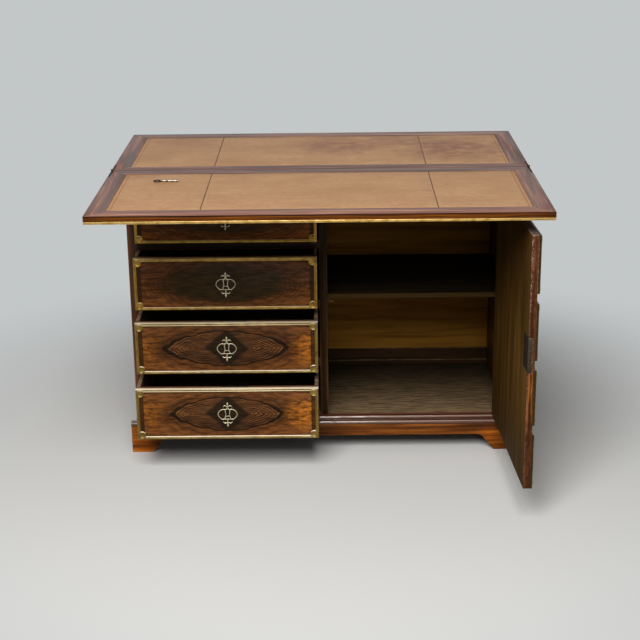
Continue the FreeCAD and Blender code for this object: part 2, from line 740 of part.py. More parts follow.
def leaf(name, sign):
    """A leaf on one side of the fold, with a recess for the leather and one for each hinge arm."""
    y = across((mm.fold_gap / 2, mm.leaf_depth), sign)
    blank = box(name + "_blank", (-half_top, half_top), y, (leaf_under, mm.top_height))
    recess = box(name + "_recess", (-leather_half, leather_half), across(leather_y, sign), recess_z)
    slots = []
    for end, hand in (("left", -1), ("right", 1)):
        x = across((half_top - mm.arm_thick, half_top + mm.overrun), hand)
        slots.append(box(f"{name}_{end}_slot", x, across((-mm.overrun, mm.arm_length), sign),
                         (arm_z[0], mm.top_height + mm.overrun)))
    return blank, [recess, *slots]


def leather(name, sign):
    panels = [box(f"{name}_{i}", x, across(leather_y, sign), leather_z)
              for i, x in enumerate(panel_places, start=1)]
    return group(name, *panels)


def arm(name, sign, hand, layer):
    """A hinge arm let into a leaf's end, halved to an eye in one of two layers about the fold."""
    body = box(name + "_body", across((half_top - mm.arm_thick, half_top), hand),
               across((mm.arm_halving, mm.arm_length), sign), arm_z)
    tongue = box(name + "_tongue", across(layer, hand), across((ZERO, mm.arm_halving), sign), arm_z)
    eye = rod(name + "_eye", "x", mm.eye_radius, across(layer, hand), ZERO, axis_z)
    return fuse(name + "_blank", body, tongue, eye)


outer_layer = (half_top - half_arm, half_top)
inner_layer = (half_top - mm.arm_thick, half_top - mm.arm_thick + half_arm)
fixed_arms = []
moving_arms = []
for end, hand in (("left", -1), ("right", 1)):
    rivet_x = across((half_top - mm.arm_thick, half_top), hand)
    rivet = rod(f"rivet_{end}", "x", mm.rivet_radius, rivet_x, ZERO, axis_z)
    fixed_arms.append(fuse(f"fixed_arm_{end}", arm(f"fixed_arm_{end}", 1, hand, outer_layer), rivet))
    bore = rod(f"rivet_bore_{end}", "x", mm.rivet_radius + mm.rivet_gap,
               across((half_top - mm.arm_thick - mm.overrun, half_top), hand), ZERO, axis_z)
    moving_arms.append(cut(f"moving_arm_{end}", arm(f"moving_arm_{end}", -1, hand, inner_layer), bore))
keep(group("top_hinge_arms", *fixed_arms))
keep(group("leaf_hinge_arms", *moving_arms))

rear_blank, rear_cuts = leaf("rear_leaf", 1)
keep(cut("rear_leaf", rear_blank, *rear_cuts))
keep(leather("rear_leather", 1))
keep(leather("front_leather", -1))

# Brass edging: an angle let in round the lower edges of the front leaf
edge_x = (-half_top, half_top)
edge_y = (-mm.leaf_depth, -mm.fold_gap / 2)
edging_blank = box("edging_blank", edge_x, edge_y, (leaf_under, leaf_under + mm.edging_height))
edging_core = box("edging_core", wider(edge_x, -mm.edging_thick), wider(edge_y, -mm.edging_thick),
                  (leaf_under + mm.edging_thick, leaf_under + mm.edging_height + mm.overrun))
edging_window = box("edging_window", wider(edge_x, -mm.edging_leg), wider(edge_y, -mm.edging_leg),
                    (leaf_under - mm.overrun, leaf_under + mm.edging_height))
edging = cut("front_leaf_edging", edging_blank, edging_core, edging_window)
front_blank_leaf, front_cuts = leaf("front_leaf", -1)
keep(cut("front_leaf", front_blank_leaf, edging, *front_cuts))
keep(edging)

# Every object is sound before anything is written
document.recompute()
for item in document.Objects:
    if "Invalid" in item.State or "Error" in item.State:
        raise RuntimeError(f"{item.Label} failed: {item.State}")
for item in nodes:
    if item.Shape.isNull() or not item.Shape.isValid() or not item.Shape.Solids:
        raise RuntimeError(f"{item.Label} has no sound solid")
os.makedirs("parts", exist_ok=True)
for item in nodes:
    item.Shape.exportStep(f"parts/{item.Label}.step")
print(len(nodes), "nodes")
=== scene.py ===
import json
import math

import bpy
from mathutils import Color, Matrix, Vector

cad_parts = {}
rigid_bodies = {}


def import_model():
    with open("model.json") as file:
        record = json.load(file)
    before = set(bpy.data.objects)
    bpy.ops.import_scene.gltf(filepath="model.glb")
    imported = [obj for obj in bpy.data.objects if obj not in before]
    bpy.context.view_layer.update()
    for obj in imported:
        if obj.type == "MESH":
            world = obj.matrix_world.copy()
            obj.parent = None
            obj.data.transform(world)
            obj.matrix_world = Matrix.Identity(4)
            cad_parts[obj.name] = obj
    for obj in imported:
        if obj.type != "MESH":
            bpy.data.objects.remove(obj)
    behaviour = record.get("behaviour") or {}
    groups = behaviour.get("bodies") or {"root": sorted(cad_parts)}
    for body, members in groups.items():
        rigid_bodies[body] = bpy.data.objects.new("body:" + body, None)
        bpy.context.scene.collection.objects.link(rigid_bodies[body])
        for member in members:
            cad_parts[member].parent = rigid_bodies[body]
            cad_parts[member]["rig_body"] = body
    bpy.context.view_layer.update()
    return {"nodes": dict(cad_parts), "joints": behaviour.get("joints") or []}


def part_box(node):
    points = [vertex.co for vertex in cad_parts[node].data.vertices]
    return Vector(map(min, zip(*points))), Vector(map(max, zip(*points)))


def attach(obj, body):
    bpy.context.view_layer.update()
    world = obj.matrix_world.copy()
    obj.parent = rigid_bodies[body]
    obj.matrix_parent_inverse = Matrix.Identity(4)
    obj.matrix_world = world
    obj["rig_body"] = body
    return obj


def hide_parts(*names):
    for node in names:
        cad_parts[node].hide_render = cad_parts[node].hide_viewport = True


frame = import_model()

# Carcass: two sides, a divider and the rails between the drawers, boards of dark rosewood glued and
# dowelled into a case. The arrises are eased with a plane, and hands have rubbed them pale.
CASE_ARRIS = 0.0012
ARRIS_ANGLE = math.radians(40)
FLAT_ANGLE = math.radians(1)
MERGE = 0.000002
PORE_DEPTH = 0.0002
HIGHLIGHT_WAY = (0, -0.7, 0.714)
GRAIN_TURN = {"X": (0, 0, 0), "Y": (0, 0, math.radians(90)), "Z": (0, math.radians(90), 0)}


def colour(code):
    """Six hex digits as the linear colour that shaders take."""
    red, green, blue = (channel / 255 for channel in bytes.fromhex(code))
    return (*Color((red, green, blue)).from_srgb_to_scene_linear(), 1)


def feed(tree, node, inputs):
    """Sets a node's inputs to values, or links them to the sockets of other nodes."""
    for socket, value in inputs.items():
        if isinstance(value, bpy.types.NodeSocket):
            tree.links.new(value, node.inputs[socket])
        else:
            node.inputs[socket].default_value = value


def put(tree, kind, inputs=None, **settings):
    """Adds a shader node with its settings and inputs."""
    made = tree.nodes.new("ShaderNode" + kind)
    for name, value in settings.items():
        setattr(made, name, value)
    feed(tree, made, inputs or {})
    return made


def calc(tree, operation, *values):
    return put(tree, "Math", dict(enumerate(values)), operation=operation).outputs[0]


def times(tree, product, *others):
    for other in others:
        product = calc(tree, "MULTIPLY", product, other)
    return product


def vector(tree, operation, *values):
    """A sum on vectors, which gives a vector or, for a length or a product, a value."""
    told = "Value" if operation in ("DOT_PRODUCT", "LENGTH", "DISTANCE") else "Vector"
    return put(tree, "VectorMath", dict(enumerate(values)), operation=operation).outputs[told]


def axes(tree, place):
    """The X, Y and Z of a place."""
    return put(tree, "SeparateXYZ", {0: place}).outputs


def level(tree, value, low, high, start=0.0, end=1.0):
    """Reads a value between two marks as a smooth rise from start to end."""
    marks = {"Value": value, "From Min": low, "From Max": high, "To Min": start, "To Max": end}
    return put(tree, "MapRange", marks, interpolation_type="SMOOTHSTEP").outputs[0]


def noise(tree, place, stretch, detail=3, distortion=0.0):
    """Cloudy values over a piece, with their scale along each axis in clouds to the metre."""
    stretched = put(tree, "Mapping", {"Vector": place, "Scale": stretch}).outputs[0]
    grain = {"Vector": stretched, "Scale": 1.0, "Detail": detail, "Distortion": distortion}
    return put(tree, "TexNoise", grain).outputs["Fac"]


def cloudy(tree, place, stretch, *marks, **grain):
    """Cloudy values read between two marks."""
    return level(tree, noise(tree, place, stretch, **grain), *marks)


def ramp(tree, value, *stops):
    """Colours at shares of a value's way from 0 to 1."""
    made = put(tree, "ValToRGB", {"Fac": value})
    points = made.color_ramp.elements
    while len(points) < len(stops):
        points.new(1)
    for point, (place, code) in zip(points, stops):
        point.position = place
        point.color = colour(code)
    return made.outputs["Color"]


def mixed(tree, share, first, second, blend="MIX"):
    """Two colours by a share of the second, which may be six hex digits."""
    FACTOR, FIRST, SECOND, RESULT = 0, 6, 7, 2
    if isinstance(second, str):
        second = colour(second)
    parts = {FACTOR: share, FIRST: first, SECOND: second}
    return put(tree, "Mix", parts, data_type="RGBA", blend_type=blend).outputs[RESULT]


def layered(tree, base, *layers):
    """A colour under others, each told as its share and its hex digits."""
    for share, code in layers:
        base = mixed(tree, share, base, code)
    return base


def new_group(name, inputs, outputs):
    """An empty node group with named sockets, and its two ends."""
    tree = bpy.data.node_groups.new(name, "ShaderNodeTree")
    for way, sockets in (("INPUT", inputs), ("OUTPUT", outputs)):
        for socket, kind in sockets.items():
            tree.interface.new_socket(socket, in_out=way, socket_type="NodeSocket" + kind)
    return tree, tree.nodes.new("NodeGroupInput").outputs, tree.nodes.new("NodeGroupOutput")


def placed(tree, group, inputs):
    """The outputs of a node group that is placed in a material with its own inputs."""
    return put(tree, "Group", inputs, node_tree=group).outputs


timber_grain, given, told = new_group(
    "timber_grain", {"Vector": "Vector"}, {"Bands": "Float", "Streaks": "Float", "Pores": "Float"})
feed(timber_grain, told, {
    "Bands": cloudy(timber_grain, given["Vector"], (2.2, 42, 42), 0.3, 0.7, detail=5, distortion=0.8),
    "Streaks": cloudy(timber_grain, given["Vector"], (7, 260, 260), 0.32, 0.68, detail=5, distortion=0.3),
    "Pores": cloudy(timber_grain, given["Vector"], (55, 1100, 1100), 0.58, 0.7, detail=1)})


def new_finish(name):
    """A material, its tree, its shader, and the place and the normal that patterns read."""
    made = bpy.data.materials.new(name)
    made.use_nodes = True
    tree = made.node_tree
    read = put(tree, "TexCoord").outputs
    return made, tree, tree.nodes["Principled BSDF"], read["Object"], read["Normal"]


def turned(tree, place, along):
    """A place turned so that its X runs along one axis."""
    return put(tree, "Mapping", {"Vector": place, "Rotation": GRAIN_TURN[along]}).outputs[0]


def grained(tree, place, along):
    """The readings of the timber's grain, laid along one axis."""
    return placed(tree, timber_grain, {"Vector": turned(tree, place, along)})


def surface(tree, shader, base, roughness, sheen, height, depth):
    """Gives a shader its colour, roughness and sheen, and a height with its depth in metres."""
    bump = put(tree, "Bump", {"Height": height, "Distance": depth, "Strength": 1.0}).outputs[0]
    feed(tree, shader, {"Base Color": base, "Roughness": roughness, "Specular IOR Level": sheen,
                        "Normal": bump})


def timber(name, dark, middle, light, along="X", gloss=0.42, sheen=0.2, streaked=0.6, highlight=None, feet=None):
    """Polished timber in three shades, with the grain along one axis.

    A highlight is painted paler where it faces up and forward, and light is painted onto the feet far out and
    low down.
    """
    made, tree, shader, place, normal = new_finish(name)
    grain = grained(tree, place, along)
    shades = ramp(tree, grain["Bands"], (0.0, dark), (0.5, middle), (1.0, light))
    wood = layered(tree, shades, (level(tree, grain["Streaks"], 0.2, 1.0, 0.0, streaked), dark),
                   (level(tree, grain["Pores"], 0.0, 1.0, 0.0, 0.5), dark))
    # Painted highlight: paler where the piece faces up and forward.
    if highlight:
        facing = vector(tree, "DOT_PRODUCT", normal, HIGHLIGHT_WAY)
        wood = mixed(tree, level(tree, facing, 0.9, 0.985, 0.0, 0.85), wood, highlight)
    # Painted light: the feet are made lighter far out and low down.
    if feet:
        parts = axes(tree, place)
        outer = level(tree, calc(tree, "ABSOLUTE", parts["X"]), *feet["out"])
        lower = level(tree, parts["Z"], *feet["up"], 1.0, 0.15)
        wood = mixed(tree, times(tree, outer, lower), wood, feet["tint"], blend="MULTIPLY")
    roughness = level(tree, grain["Bands"], 0.0, 1.0, gloss + 0.08, gloss - 0.06)
    surface(tree, shader, wood, roughness, sheen, calc(tree, "SUBTRACT", 1.0, grain["Pores"]), PORE_DEPTH)
    return made


def select_only(piece):
    bpy.ops.object.select_all(action="DESELECT")
    piece.select_set(True)
    bpy.context.view_layer.objects.active = piece


def open_mesh():
    """Opens the active piece for editing, with all of its mesh selected."""
    bpy.ops.object.mode_set(mode="EDIT")
    bpy.ops.mesh.select_all(action="SELECT")


def shut_mesh():
    bpy.ops.object.mode_set(mode="OBJECT")


def painted(piece, finish):
    """Gives a piece one finish and no other."""
    piece.data.materials.clear()
    piece.data.materials.append(finish)


def round_arrises(piece, width, segments=2, worn=None):
    """Rounds the sharp edges of the active piece, which may get a second finish."""
    arris = piece.modifiers.new("arris", "BEVEL")
    arris.width = width
    arris.segments = segments
    arris.limit_method = "ANGLE"
    arris.angle_limit = ARRIS_ANGLE
    if worn:
        piece.data.materials.append(worn)
        arris.material = 1
    bpy.ops.object.modifier_apply(modifier="arris")


def eased(node, width, finish, worn=None, segments=2):
    """A copy of a piece of the frame with its arrises rounded, and worn ones in a finish of their own."""
    source = frame["nodes"][node]
    piece = bpy.data.objects.new("eased_" + node, source.data.copy())
    bpy.context.scene.collection.objects.link(piece)
    painted(piece, finish)
    piece.data.polygons.foreach_set("material_index", [0] * len(piece.data.polygons))
    select_only(piece)
    open_mesh()
    bpy.ops.mesh.remove_doubles(threshold=MERGE)
    bpy.ops.mesh.dissolve_limited(angle_limit=FLAT_ANGLE)
    shut_mesh()
    round_arrises(piece, width, segments, worn)
    bpy.ops.object.shade_smooth_by_angle(angle=ARRIS_ANGLE)
    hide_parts(node)
    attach(piece, source["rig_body"])
    return piece


divider_wood = timber("divider_wood", "24160a", "422b12", "583a1a", along="Z", sheen=0.08)
side_wood = timber("side_wood", "2e170b", "55301a", "704224", along="Z")
# The rails are painted darker than the other rosewood, as the shade they lie in between the drawers and under
# the top.
shaded_long_rosewood = timber("shaded_long_rosewood", "1a0f07", "2f1b0e", "422815", along="X", sheen=0.1)
rubbed_rosewood = timber("rubbed_rosewood", "4a2f1c", "75503a", "947060", along="Z", gloss=0.5)
for board, finish in (("divider", divider_wood), ("side_left", side_wood), ("side_right", side_wood),
                      ("drawer_rails", shaded_long_rosewood), ("frieze_rail", shaded_long_rosewood)):
    eased(board, CASE_ARRIS, finish, rubbed_rosewood)

# Inside of the case: a back of knotty pine boards, a shelf on cleats, a skirting, and a bottom board
# under years of dust. None of it is polished, and the bare softwood has gone brown.
PINE_ARRIS = 0.0008
KNOTS_PER_METRE = 9.0
KNOT_STRETCH = (0.55, 1, 1)
KNOT_PUSH = 0.35
PINE_ROUGH = 0.75
PINE_SHEEN = 0.12
PINE_DEPTH = 0.0003
DUST = "937a59"
FLOOR_LIP = 0.009
SHELF_LIP = 0.004
LIP_SOFT = 0.001

settled_dust, given, told = new_group(
    "settled_dust", {"Color": "Color", "Vector": "Vector", "Normal": "Vector", "Amount": "Float"},
    {"Color": "Color"})
upward = level(settled_dust, axes(settled_dust, given["Normal"])["Z"], 0.6, 0.95)
drifts = cloudy(settled_dust, given["Vector"], (30, 340, 60), 0.34, 0.64, 0.15, 1.1, detail=8)
cover = times(settled_dust, upward, drifts, given["Amount"])
feed(settled_dust, told, {"Color": mixed(settled_dust, cover, given["Color"], DUST)})


def bare_pine(name, dark, middle, light, along, knots=0.0, dust=0.0, streaked=0.45, lip=None,
              lip_tint="66392a", far_shade=None, boxed=False):
    """Unpolished softwood with streaks, knots and dust.

    A tinted lip and painted shade towards a far end are given as depths. In a box the grain crosses on front
    and back.
    """
    made, tree, shader, place, normal = new_finish(name)
    laid = turned(tree, place, along)
    if boxed:
        across = level(tree, calc(tree, "ABSOLUTE", axes(tree, normal)["Y"]), 0.5, 0.8)
        laid = mixed(tree, across, laid, place)
    knot_place = put(tree, "Mapping", {"Vector": laid, "Scale": KNOT_STRETCH}).outputs[0]
    knotted = {"Vector": knot_place, "Scale": KNOTS_PER_METRE, "Randomness": 1.0}
    cells = put(tree, "TexVoronoi", knotted).outputs
    near = level(tree, cells["Distance"], 0.06, 0.42, 1.0, 0.0)
    from_knot = vector(tree, "SUBTRACT", laid, cells["Position"])
    pushed = vector(tree, "MULTIPLY", from_knot, times(tree, near, KNOT_PUSH))
    grain = placed(tree, timber_grain, {"Vector": vector(tree, "ADD", laid, pushed)})
    shades = ramp(tree, grain["Bands"], (0.0, dark), (0.45, middle), (1.0, light))
    wood = layered(tree, shades, (level(tree, grain["Streaks"], 0.1, 1.0, 0.0, streaked), dark),
                   (level(tree, cells["Distance"], 0.03, 0.13, knots, 0.0), dark))
    under_dust = {"Color": wood, "Vector": place, "Normal": normal, "Amount": dust}
    wood = placed(tree, settled_dust, under_dust)["Color"]
    depth = axes(tree, place)["Y"]
    # Painted shade: darker towards the far end.
    if far_shade:
        wood = mixed(tree, level(tree, depth, *far_shade, 0.0, 0.9), wood, "1a150a")
    if lip:
        wood = mixed(tree, level(tree, depth, lip - LIP_SOFT, lip + LIP_SOFT, 0.85, 0.0), wood, lip_tint)
    surface(tree, shader, wood, PINE_ROUGH, PINE_SHEEN, grain["Streaks"], PINE_DEPTH)
    return made


shelf_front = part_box("shelf")[0].y
floor_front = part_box("bottom_board")[0].y
floor_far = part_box("back_panel")[0].y
back_pine = bare_pine("back_pine", "6a4512", "875c1c", "936624", along="X", knots=0.6, streaked=0.1)
# The skirting is painted near black, standing in for the shade at the foot of the back.
shaded_skirting = bare_pine("shaded_skirting", "1a0f04", "2c1a06", "3c260a", along="X", dust=0.6)
# The shelf is painted near black for the shade under the top, all but a paler lip at its front.
shaded_shelf = bare_pine("shaded_shelf", "1c150a", "2a2011", "382b18", along="X", lip=shelf_front + SHELF_LIP,
                       lip_tint="4c3a18")
# The bottom board is dusty, and painted darker towards the back as shade.
dusty_shaded_bottom = bare_pine("dusty_shaded_bottom", "35271b", "4e3c2a", "5c4836", along="X", dust=0.75, streaked=0.8,
                         lip=floor_front + FLOOR_LIP, far_shade=(floor_front, floor_far))
for board, finish in (("back_panel", back_pine), ("back_ledge", shaded_skirting), ("shelf", shaded_shelf),
                      ("bottom_board", dusty_shaded_bottom)):
    eased(board, PINE_ARRIS, finish)
hidden_pine = bare_pine("hidden_pine", "4a3218", "77542a", "8f6a3c", along="Y")
long_pine = bare_pine("long_pine", "4a3218", "77542a", "8f6a3c", along="X")
for strip, finish in (("drawer_runners", hidden_pine), ("shelf_cleats", hidden_pine),
                      ("loper_guides", hidden_pine), ("dust_board", long_pine), ("plinth_back", long_pine)):
    painted(frame["nodes"][strip], finish)

# Plinth: boards sawn to bracket feet, of a redder timber than the case, and two beads planed along the
# front above them. The polish on the beads is thick, and a highlight is painted pale along their crests.
# The feet are painted lighter far out and low down, as light that reaches them.
PLINTH_ARRIS = 0.0015
BEAD_EASE = 0.0004
# Painted light on the feet: how far out and how low it reaches, and how much it lightens them.
FOOT_LIGHT = {"out": (0.36, 0.42), "up": (0.035, 0.075), "tint": (2.2, 2.05, 1.2, 1)}
apron_wood = timber("apron_wood", "3c1c06", "854818", "a86224", along="X", gloss=0.36, sheen=0.14,
                    streaked=0.75, feet=FOOT_LIGHT)
flank_wood = timber("flank_wood", "3c1c06", "7d441a", "9c5a22", along="Y", gloss=0.36, streaked=0.75)
worn_apron = timber("worn_apron", "74461f", "94602e", "ab7a48", along="X", gloss=0.5)
# The beads' pale crest colour is a painted highlight.
bead_wood = timber("bead_wood", "3c2216", "5e3826", "744a36", along="X", gloss=0.16, sheen=1.0,
                   highlight="a68a7a")
for board, finish in (("plinth_front", apron_wood), ("plinth_left", flank_wood),
                      ("plinth_right", flank_wood)):
    eased(board, PLINTH_ARRIS, finish, worn_apron)
eased("base_moulding", BEAD_EASE, bead_wood)

# Drawer boxes: thin sides and a back of plain pine round a thin bottom, nailed behind each front.
# Nothing inside is polished, the upper edges are grey with dust, and the pine is painted dark as the shade
# inside the drawers.
BOX_ARRIS = 0.0008
drawer_numbers = (1, 2, 3, 4)
shaded_box_wood = bare_pine("shaded_box_wood", "2e2118", "453327", "584636", along="Y", dust=0.9, boxed=True)
for number in drawer_numbers:
    eased(f"drawer_{number}_box", BOX_ARRIS, shaded_box_wood)

# Drawer fronts: rosewood veneer cut from one log and laid so that each figure mirrors about the keyhole,
# a dark lens with nested lines at its points. A narrow band of crossed grain ends it at each side.
FRONT_ARRIS = 0.0004
FRONT_SHEEN = 0.09
FRONT_DEPTH = 0.0001
CROSSBAND = 0.0162
RIM_SWAY = 0.030
RIM_LIFT = 0.016
NEST_PITCH = 0.078
NEST_SWAY = 0.10
KEYHOLE_WIDE = 0.0040
KEYHOLE_TALL = 0.0115
KEYHOLE_RISE = 0.0045
HEART_WIDE = 0.0535
HEART_TALL = 0.050
EMBER_REACH = 0.045
LIT_BELOW = (-0.036, -0.006)
LIT = 1.6
WARMTH = (0.97, 0.92, 0.66)


def apart(tree, first, second):
    """How far one value lies from another."""
    return calc(tree, "ABSOLUTE", calc(tree, "SUBTRACT", first, second))


def wander(tree, place, stretch, reach, detail):
    """Clouds that stray by half of a reach to either side of nought."""
    return calc(tree, "MULTIPLY_ADD", noise(tree, place, stretch, detail=detail), reach, -reach / 2)


veneer_figure, given, told = new_group(
    "veneer_figure",
    {"Vector": "Vector", "Height": "Float", "Away": "Float", "Half Width": "Float", "Lens": "Float",
     "Tall": "Float", "Pointed": "Float", "Bulging": "Float", "Outlined": "Float", "Hearted": "Float",
     "Soft": "Float", "Tone": "Float", "Ember": "Float", "Shade": "Float", "Ringed": "Float"},
    {"Color": "Color", "Fine": "Float"})


def draw_figure(tree, given):
    """The lens, the nested lines and the band at each side, as a colour and its fine grain."""
    laid = given["Vector"]
    height = given["Height"]
    parts = axes(tree, laid)
    side = calc(tree, "ABSOLUTE", parts["X"])
    leaf = put(tree, "CombineXYZ", {"X": side, "Y": parts["Y"], "Z": height}).outputs[0]
    sway = wander(tree, laid, (10, 10, 24), RIM_SWAY, detail=4)
    lift = wander(tree, laid, (34, 12, 12), RIM_LIFT, detail=5)
    across = calc(tree, "ABSOLUTE", calc(tree, "ADD", side, sway))
    up = calc(tree, "ABSOLUTE", calc(tree, "ADD", height, lift))
    along_lens = calc(tree, "DIVIDE", across, given["Lens"])
    narrowing = calc(tree, "POWER", along_lens, given["Pointed"])
    rounded = calc(tree, "POWER", calc(tree, "DIVIDE", up, given["Tall"]), given["Bulging"])
    contour = calc(tree, "ADD", rounded, narrowing)

    bulge = calc(tree, "MAXIMUM", calc(tree, "SUBTRACT", 1.0, narrowing), 0.0)
    bulge = calc(tree, "POWER", bulge, calc(tree, "DIVIDE", 1.0, given["Bulging"]))
    clear = calc(tree, "SUBTRACT", up, times(tree, bulge, given["Tall"]))
    flow = put(tree, "CombineXYZ", {"X": side, "Y": parts["Y"], "Z": clear}).outputs[0]
    field = ramp(tree, noise(tree, flow, (4, 4, 52), detail=5, distortion=0.5),
                 (0.3, "3e2616"), (0.48, "5e3a22"), (0.7, "784a2a"))
    streaks = cloudy(tree, flow, (8, 8, 190), 0.42, 0.66, 0.0, 0.7, detail=4, distortion=0.3)
    past_lens = level(tree, calc(tree, "SUBTRACT", across, given["Lens"]), 0.0, EMBER_REACH)
    blister = cloudy(tree, leaf, (60, 60, 130), 0.34, 0.66, 0.15, 1.0, detail=5, distortion=0.9)
    brighter = level(tree, parts["X"], -0.05, 0.05, 0.45, 0.95)
    glow = times(tree, past_lens, level(tree, up, 0.012, 0.05, 1.0, 0.0), brighter, blister, given["Ember"])
    field = layered(tree, field, (streaks, "331e10"), (glow, "bd7430"))
    field = mixed(tree, 1.0, field, level(tree, height, *LIT_BELOW, LIT, 1.0), blend="MULTIPLY")

    inside = ramp(tree, noise(tree, leaf, (14, 14, 80), detail=5, distortion=0.6),
                  (0.32, "38241a"), (0.5, "4f3424"), (0.7, "6b452c"))
    nest = calc(tree, "POWER", contour, calc(tree, "DIVIDE", 1.0, given["Pointed"]))
    nest = calc(tree, "MULTIPLY_ADD", noise(tree, leaf, (26, 26, 50), detail=4), NEST_SWAY, nest)
    waves = calc(tree, "SINE", times(tree, nest, 2 * math.pi / NEST_PITCH))
    field = mixed(tree, times(tree, level(tree, waves, 0.0, 0.9), given["Ringed"]), field, "331e10")
    broken = cloudy(tree, laid, (22, 22, 40), 0.35, 0.6, 0.5, 1.0, detail=3)
    strength = times(tree, level(tree, along_lens, 0.2, 0.5, 0.2, 1.0), broken,
                     level(tree, parts["X"], -0.03, 0.03, 0.7, 1.0), given["Outlined"])
    diamond = calc(tree, "ADD", calc(tree, "DIVIDE", across, HEART_WIDE),
                   calc(tree, "DIVIDE", up, HEART_TALL))
    dark_lines = times(tree, level(tree, waves, 0.25, 0.85, 0.0, 0.9), strength)
    pale_lines = times(tree, level(tree, waves, -0.9, -0.3, 0.7, 0.0), strength)
    heart = times(tree, level(tree, diamond, 0.86, 1.06, 0.92, 0.0), given["Hearted"])
    inside = layered(tree, inside, (dark_lines, "28170c"), (pale_lines, "87583a"),
                     (given["Shade"], "2e230e"), (heart, "221910"))
    lens_edge = (calc(tree, "SUBTRACT", 1.0, given["Soft"]), calc(tree, "ADD", 1.0, given["Soft"]))
    wood = mixed(tree, level(tree, contour, *lens_edge, 1.0, 0.0), field, inside)
    swelling = level(tree, along_lens, 0.55, 1.0, 0.0, 0.055)
    from_rim = calc(tree, "SUBTRACT", apart(tree, contour, 1.0), swelling)
    outline = times(tree, level(tree, from_rim, 0.015, 0.085, 0.95, 0.0), given["Outlined"])
    wood = mixed(tree, outline, wood, "1c1208")

    fine = times(tree, cloudy(tree, laid, (26, 26, 420), 0.3, 0.7, 0.7, 1.18, detail=3),
                 cloudy(tree, laid, (45, 45, 190), 0.32, 0.68, 0.68, 1.28, detail=4))
    wood = mixed(tree, 1.0, wood, fine, blend="MULTIPLY")
    band_start = calc(tree, "SUBTRACT", given["Half Width"], CROSSBAND)
    from_band = calc(tree, "SUBTRACT", side, band_start)
    joint = level(tree, calc(tree, "ABSOLUTE", from_band), 0.0006, 0.0014, 0.8, 0.0)
    # The keyhole is painted near black on the veneer, as the shade inside it.
    key_side = calc(tree, "DIVIDE", side, KEYHOLE_WIDE)
    key_up = calc(tree, "DIVIDE", calc(tree, "SUBTRACT", height, KEYHOLE_RISE), KEYHOLE_TALL)
    from_key = vector(tree, "LENGTH", put(tree, "CombineXYZ", {"X": key_side, "Z": key_up}).outputs[0])
    wood = layered(tree, wood, (level(tree, from_band, 0.0, 0.001, 0.0, 0.85), "301c10"), (joint, "180d06"),
                   (given["Away"], "6b4a33"), (level(tree, from_key, 0.95, 1.25, 0.95, 0.0), "0a0705"))
    wood = mixed(tree, 1.0, wood, (*WARMTH, 1), blend="MULTIPLY")
    return {"Color": mixed(tree, 1.0, wood, given["Tone"], blend="MULTIPLY"), "Fine": fine}


feed(veneer_figure, told, draw_figure(veneer_figure, given))
PLAIN_FIGURE = {"Lens": 0.146, "Tall": 0.043, "Pointed": 2.2, "Bulging": 1.25, "Outlined": 1.0,
                "Hearted": 1.0, "Soft": 0.03, "Tone": 1.0, "Ember": 1.0, "Shade": 0.0, "Ringed": 0.0}


def figured_front(name, centre, half_width, figure, turn=0.0, pitch=None, face=(0, -1, 0)):
    """Veneer with its figure mirrored about the centre of a front, and repeated upwards by a pitch."""
    made, tree, shader, place, normal = new_finish(name)
    centred = vector(tree, "SUBTRACT", place, centre)
    laid = put(tree, "Mapping", {"Vector": centred, "Rotation": (0, 0, turn)}).outputs[0]
    height = axes(tree, laid)["Z"]
    if pitch:
        height = calc(tree, "WRAP", height, pitch / 2, -pitch / 2)
    away = level(tree, vector(tree, "DOT_PRODUCT", normal, face), 0.3, 0.6, 1.0, 0.0)
    veneer = placed(tree, veneer_figure, {"Vector": laid, "Height": height, "Away": away,
                                          "Half Width": half_width, **PLAIN_FIGURE, **figure})
    roughness = level(tree, veneer["Fine"], 0.7, 1.2, 0.46, 0.34)
    surface(tree, shader, veneer["Color"], roughness, FRONT_SHEEN, veneer["Fine"], FRONT_DEPTH)
    return made


FIGURES = {
    1: {"Lens": 0.160, "Outlined": 0.1, "Hearted": 0.2, "Soft": 0.3, "Tone": 1.4, "Ember": 0.3, "Shade": 0.6,
        "Ringed": 0.3},
    2: {"Lens": 0.138, "Tall": 0.047, "Pointed": 2.0, "Bulging": 2.0, "Outlined": 0.1, "Hearted": 0.3,
        "Soft": 0.2, "Tone": 1.02, "Ember": 0.15, "Shade": 0.85, "Ringed": 0.4},
    3: {},
    4: {"Lens": 0.131, "Tall": 0.042},
}
for number, figure in FIGURES.items():
    low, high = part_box(f"drawer_{number}_front")
    veneer = figured_front(f"veneer_{number}", (low + high) / 2, (high.x - low.x) / 2, figure)
    eased(f"drawer_{number}_front", FRONT_ARRIS, veneer)

# Brass binding: angle section let in round each front, rounded on its outer edge, with a bead along the
# inner one and a cast lobe pinned in every corner. Where it faces up it is painted pale as a highlight and
# made less metallic; the rest is olive, and the brass on the two upper drawers is more golden.
MM = 0.001
STOOD_UP = (math.radians(90), 0, 0)
ANGLE_THICK = 1.5
BINDING_SECTION = (
    (0.0, -1.8), (0.3, -0.8), (0.9, -0.2), (1.8, 0.0), (4.0, -0.1), (4.4, -0.7), (4.8, 0.0), (5.3, 0.5),
    (6.0, 0.7), (6.7, 0.5), (7.3, -0.1), (7.7, -1.0), (7.8, -2.0), (ANGLE_THICK, -2.0))
LOBE_FOOT = (9.6, -2.0)
LOBE = ((9.6, -1.0), (9.4, -0.1), (8.9, 0.5), (8.1, 0.75), (7.4, 0.6), (6.9, 0.2), (3.0, 0.2), (2.7, 0.0),
        (2.0, 0.05), (1.6, 0.3), (0.8, 0.4))
LOBE_INSET = 10.8 * MM
BOSS_SIDES = 28
SMOOTH_BRASS = math.radians(55)
METAL_SHEEN = 0.5
SCRATCH_DEPTH = 0.00006
# The drawers whose brass is a more golden copy.
GOLDEN_ROWS = (1, 2)


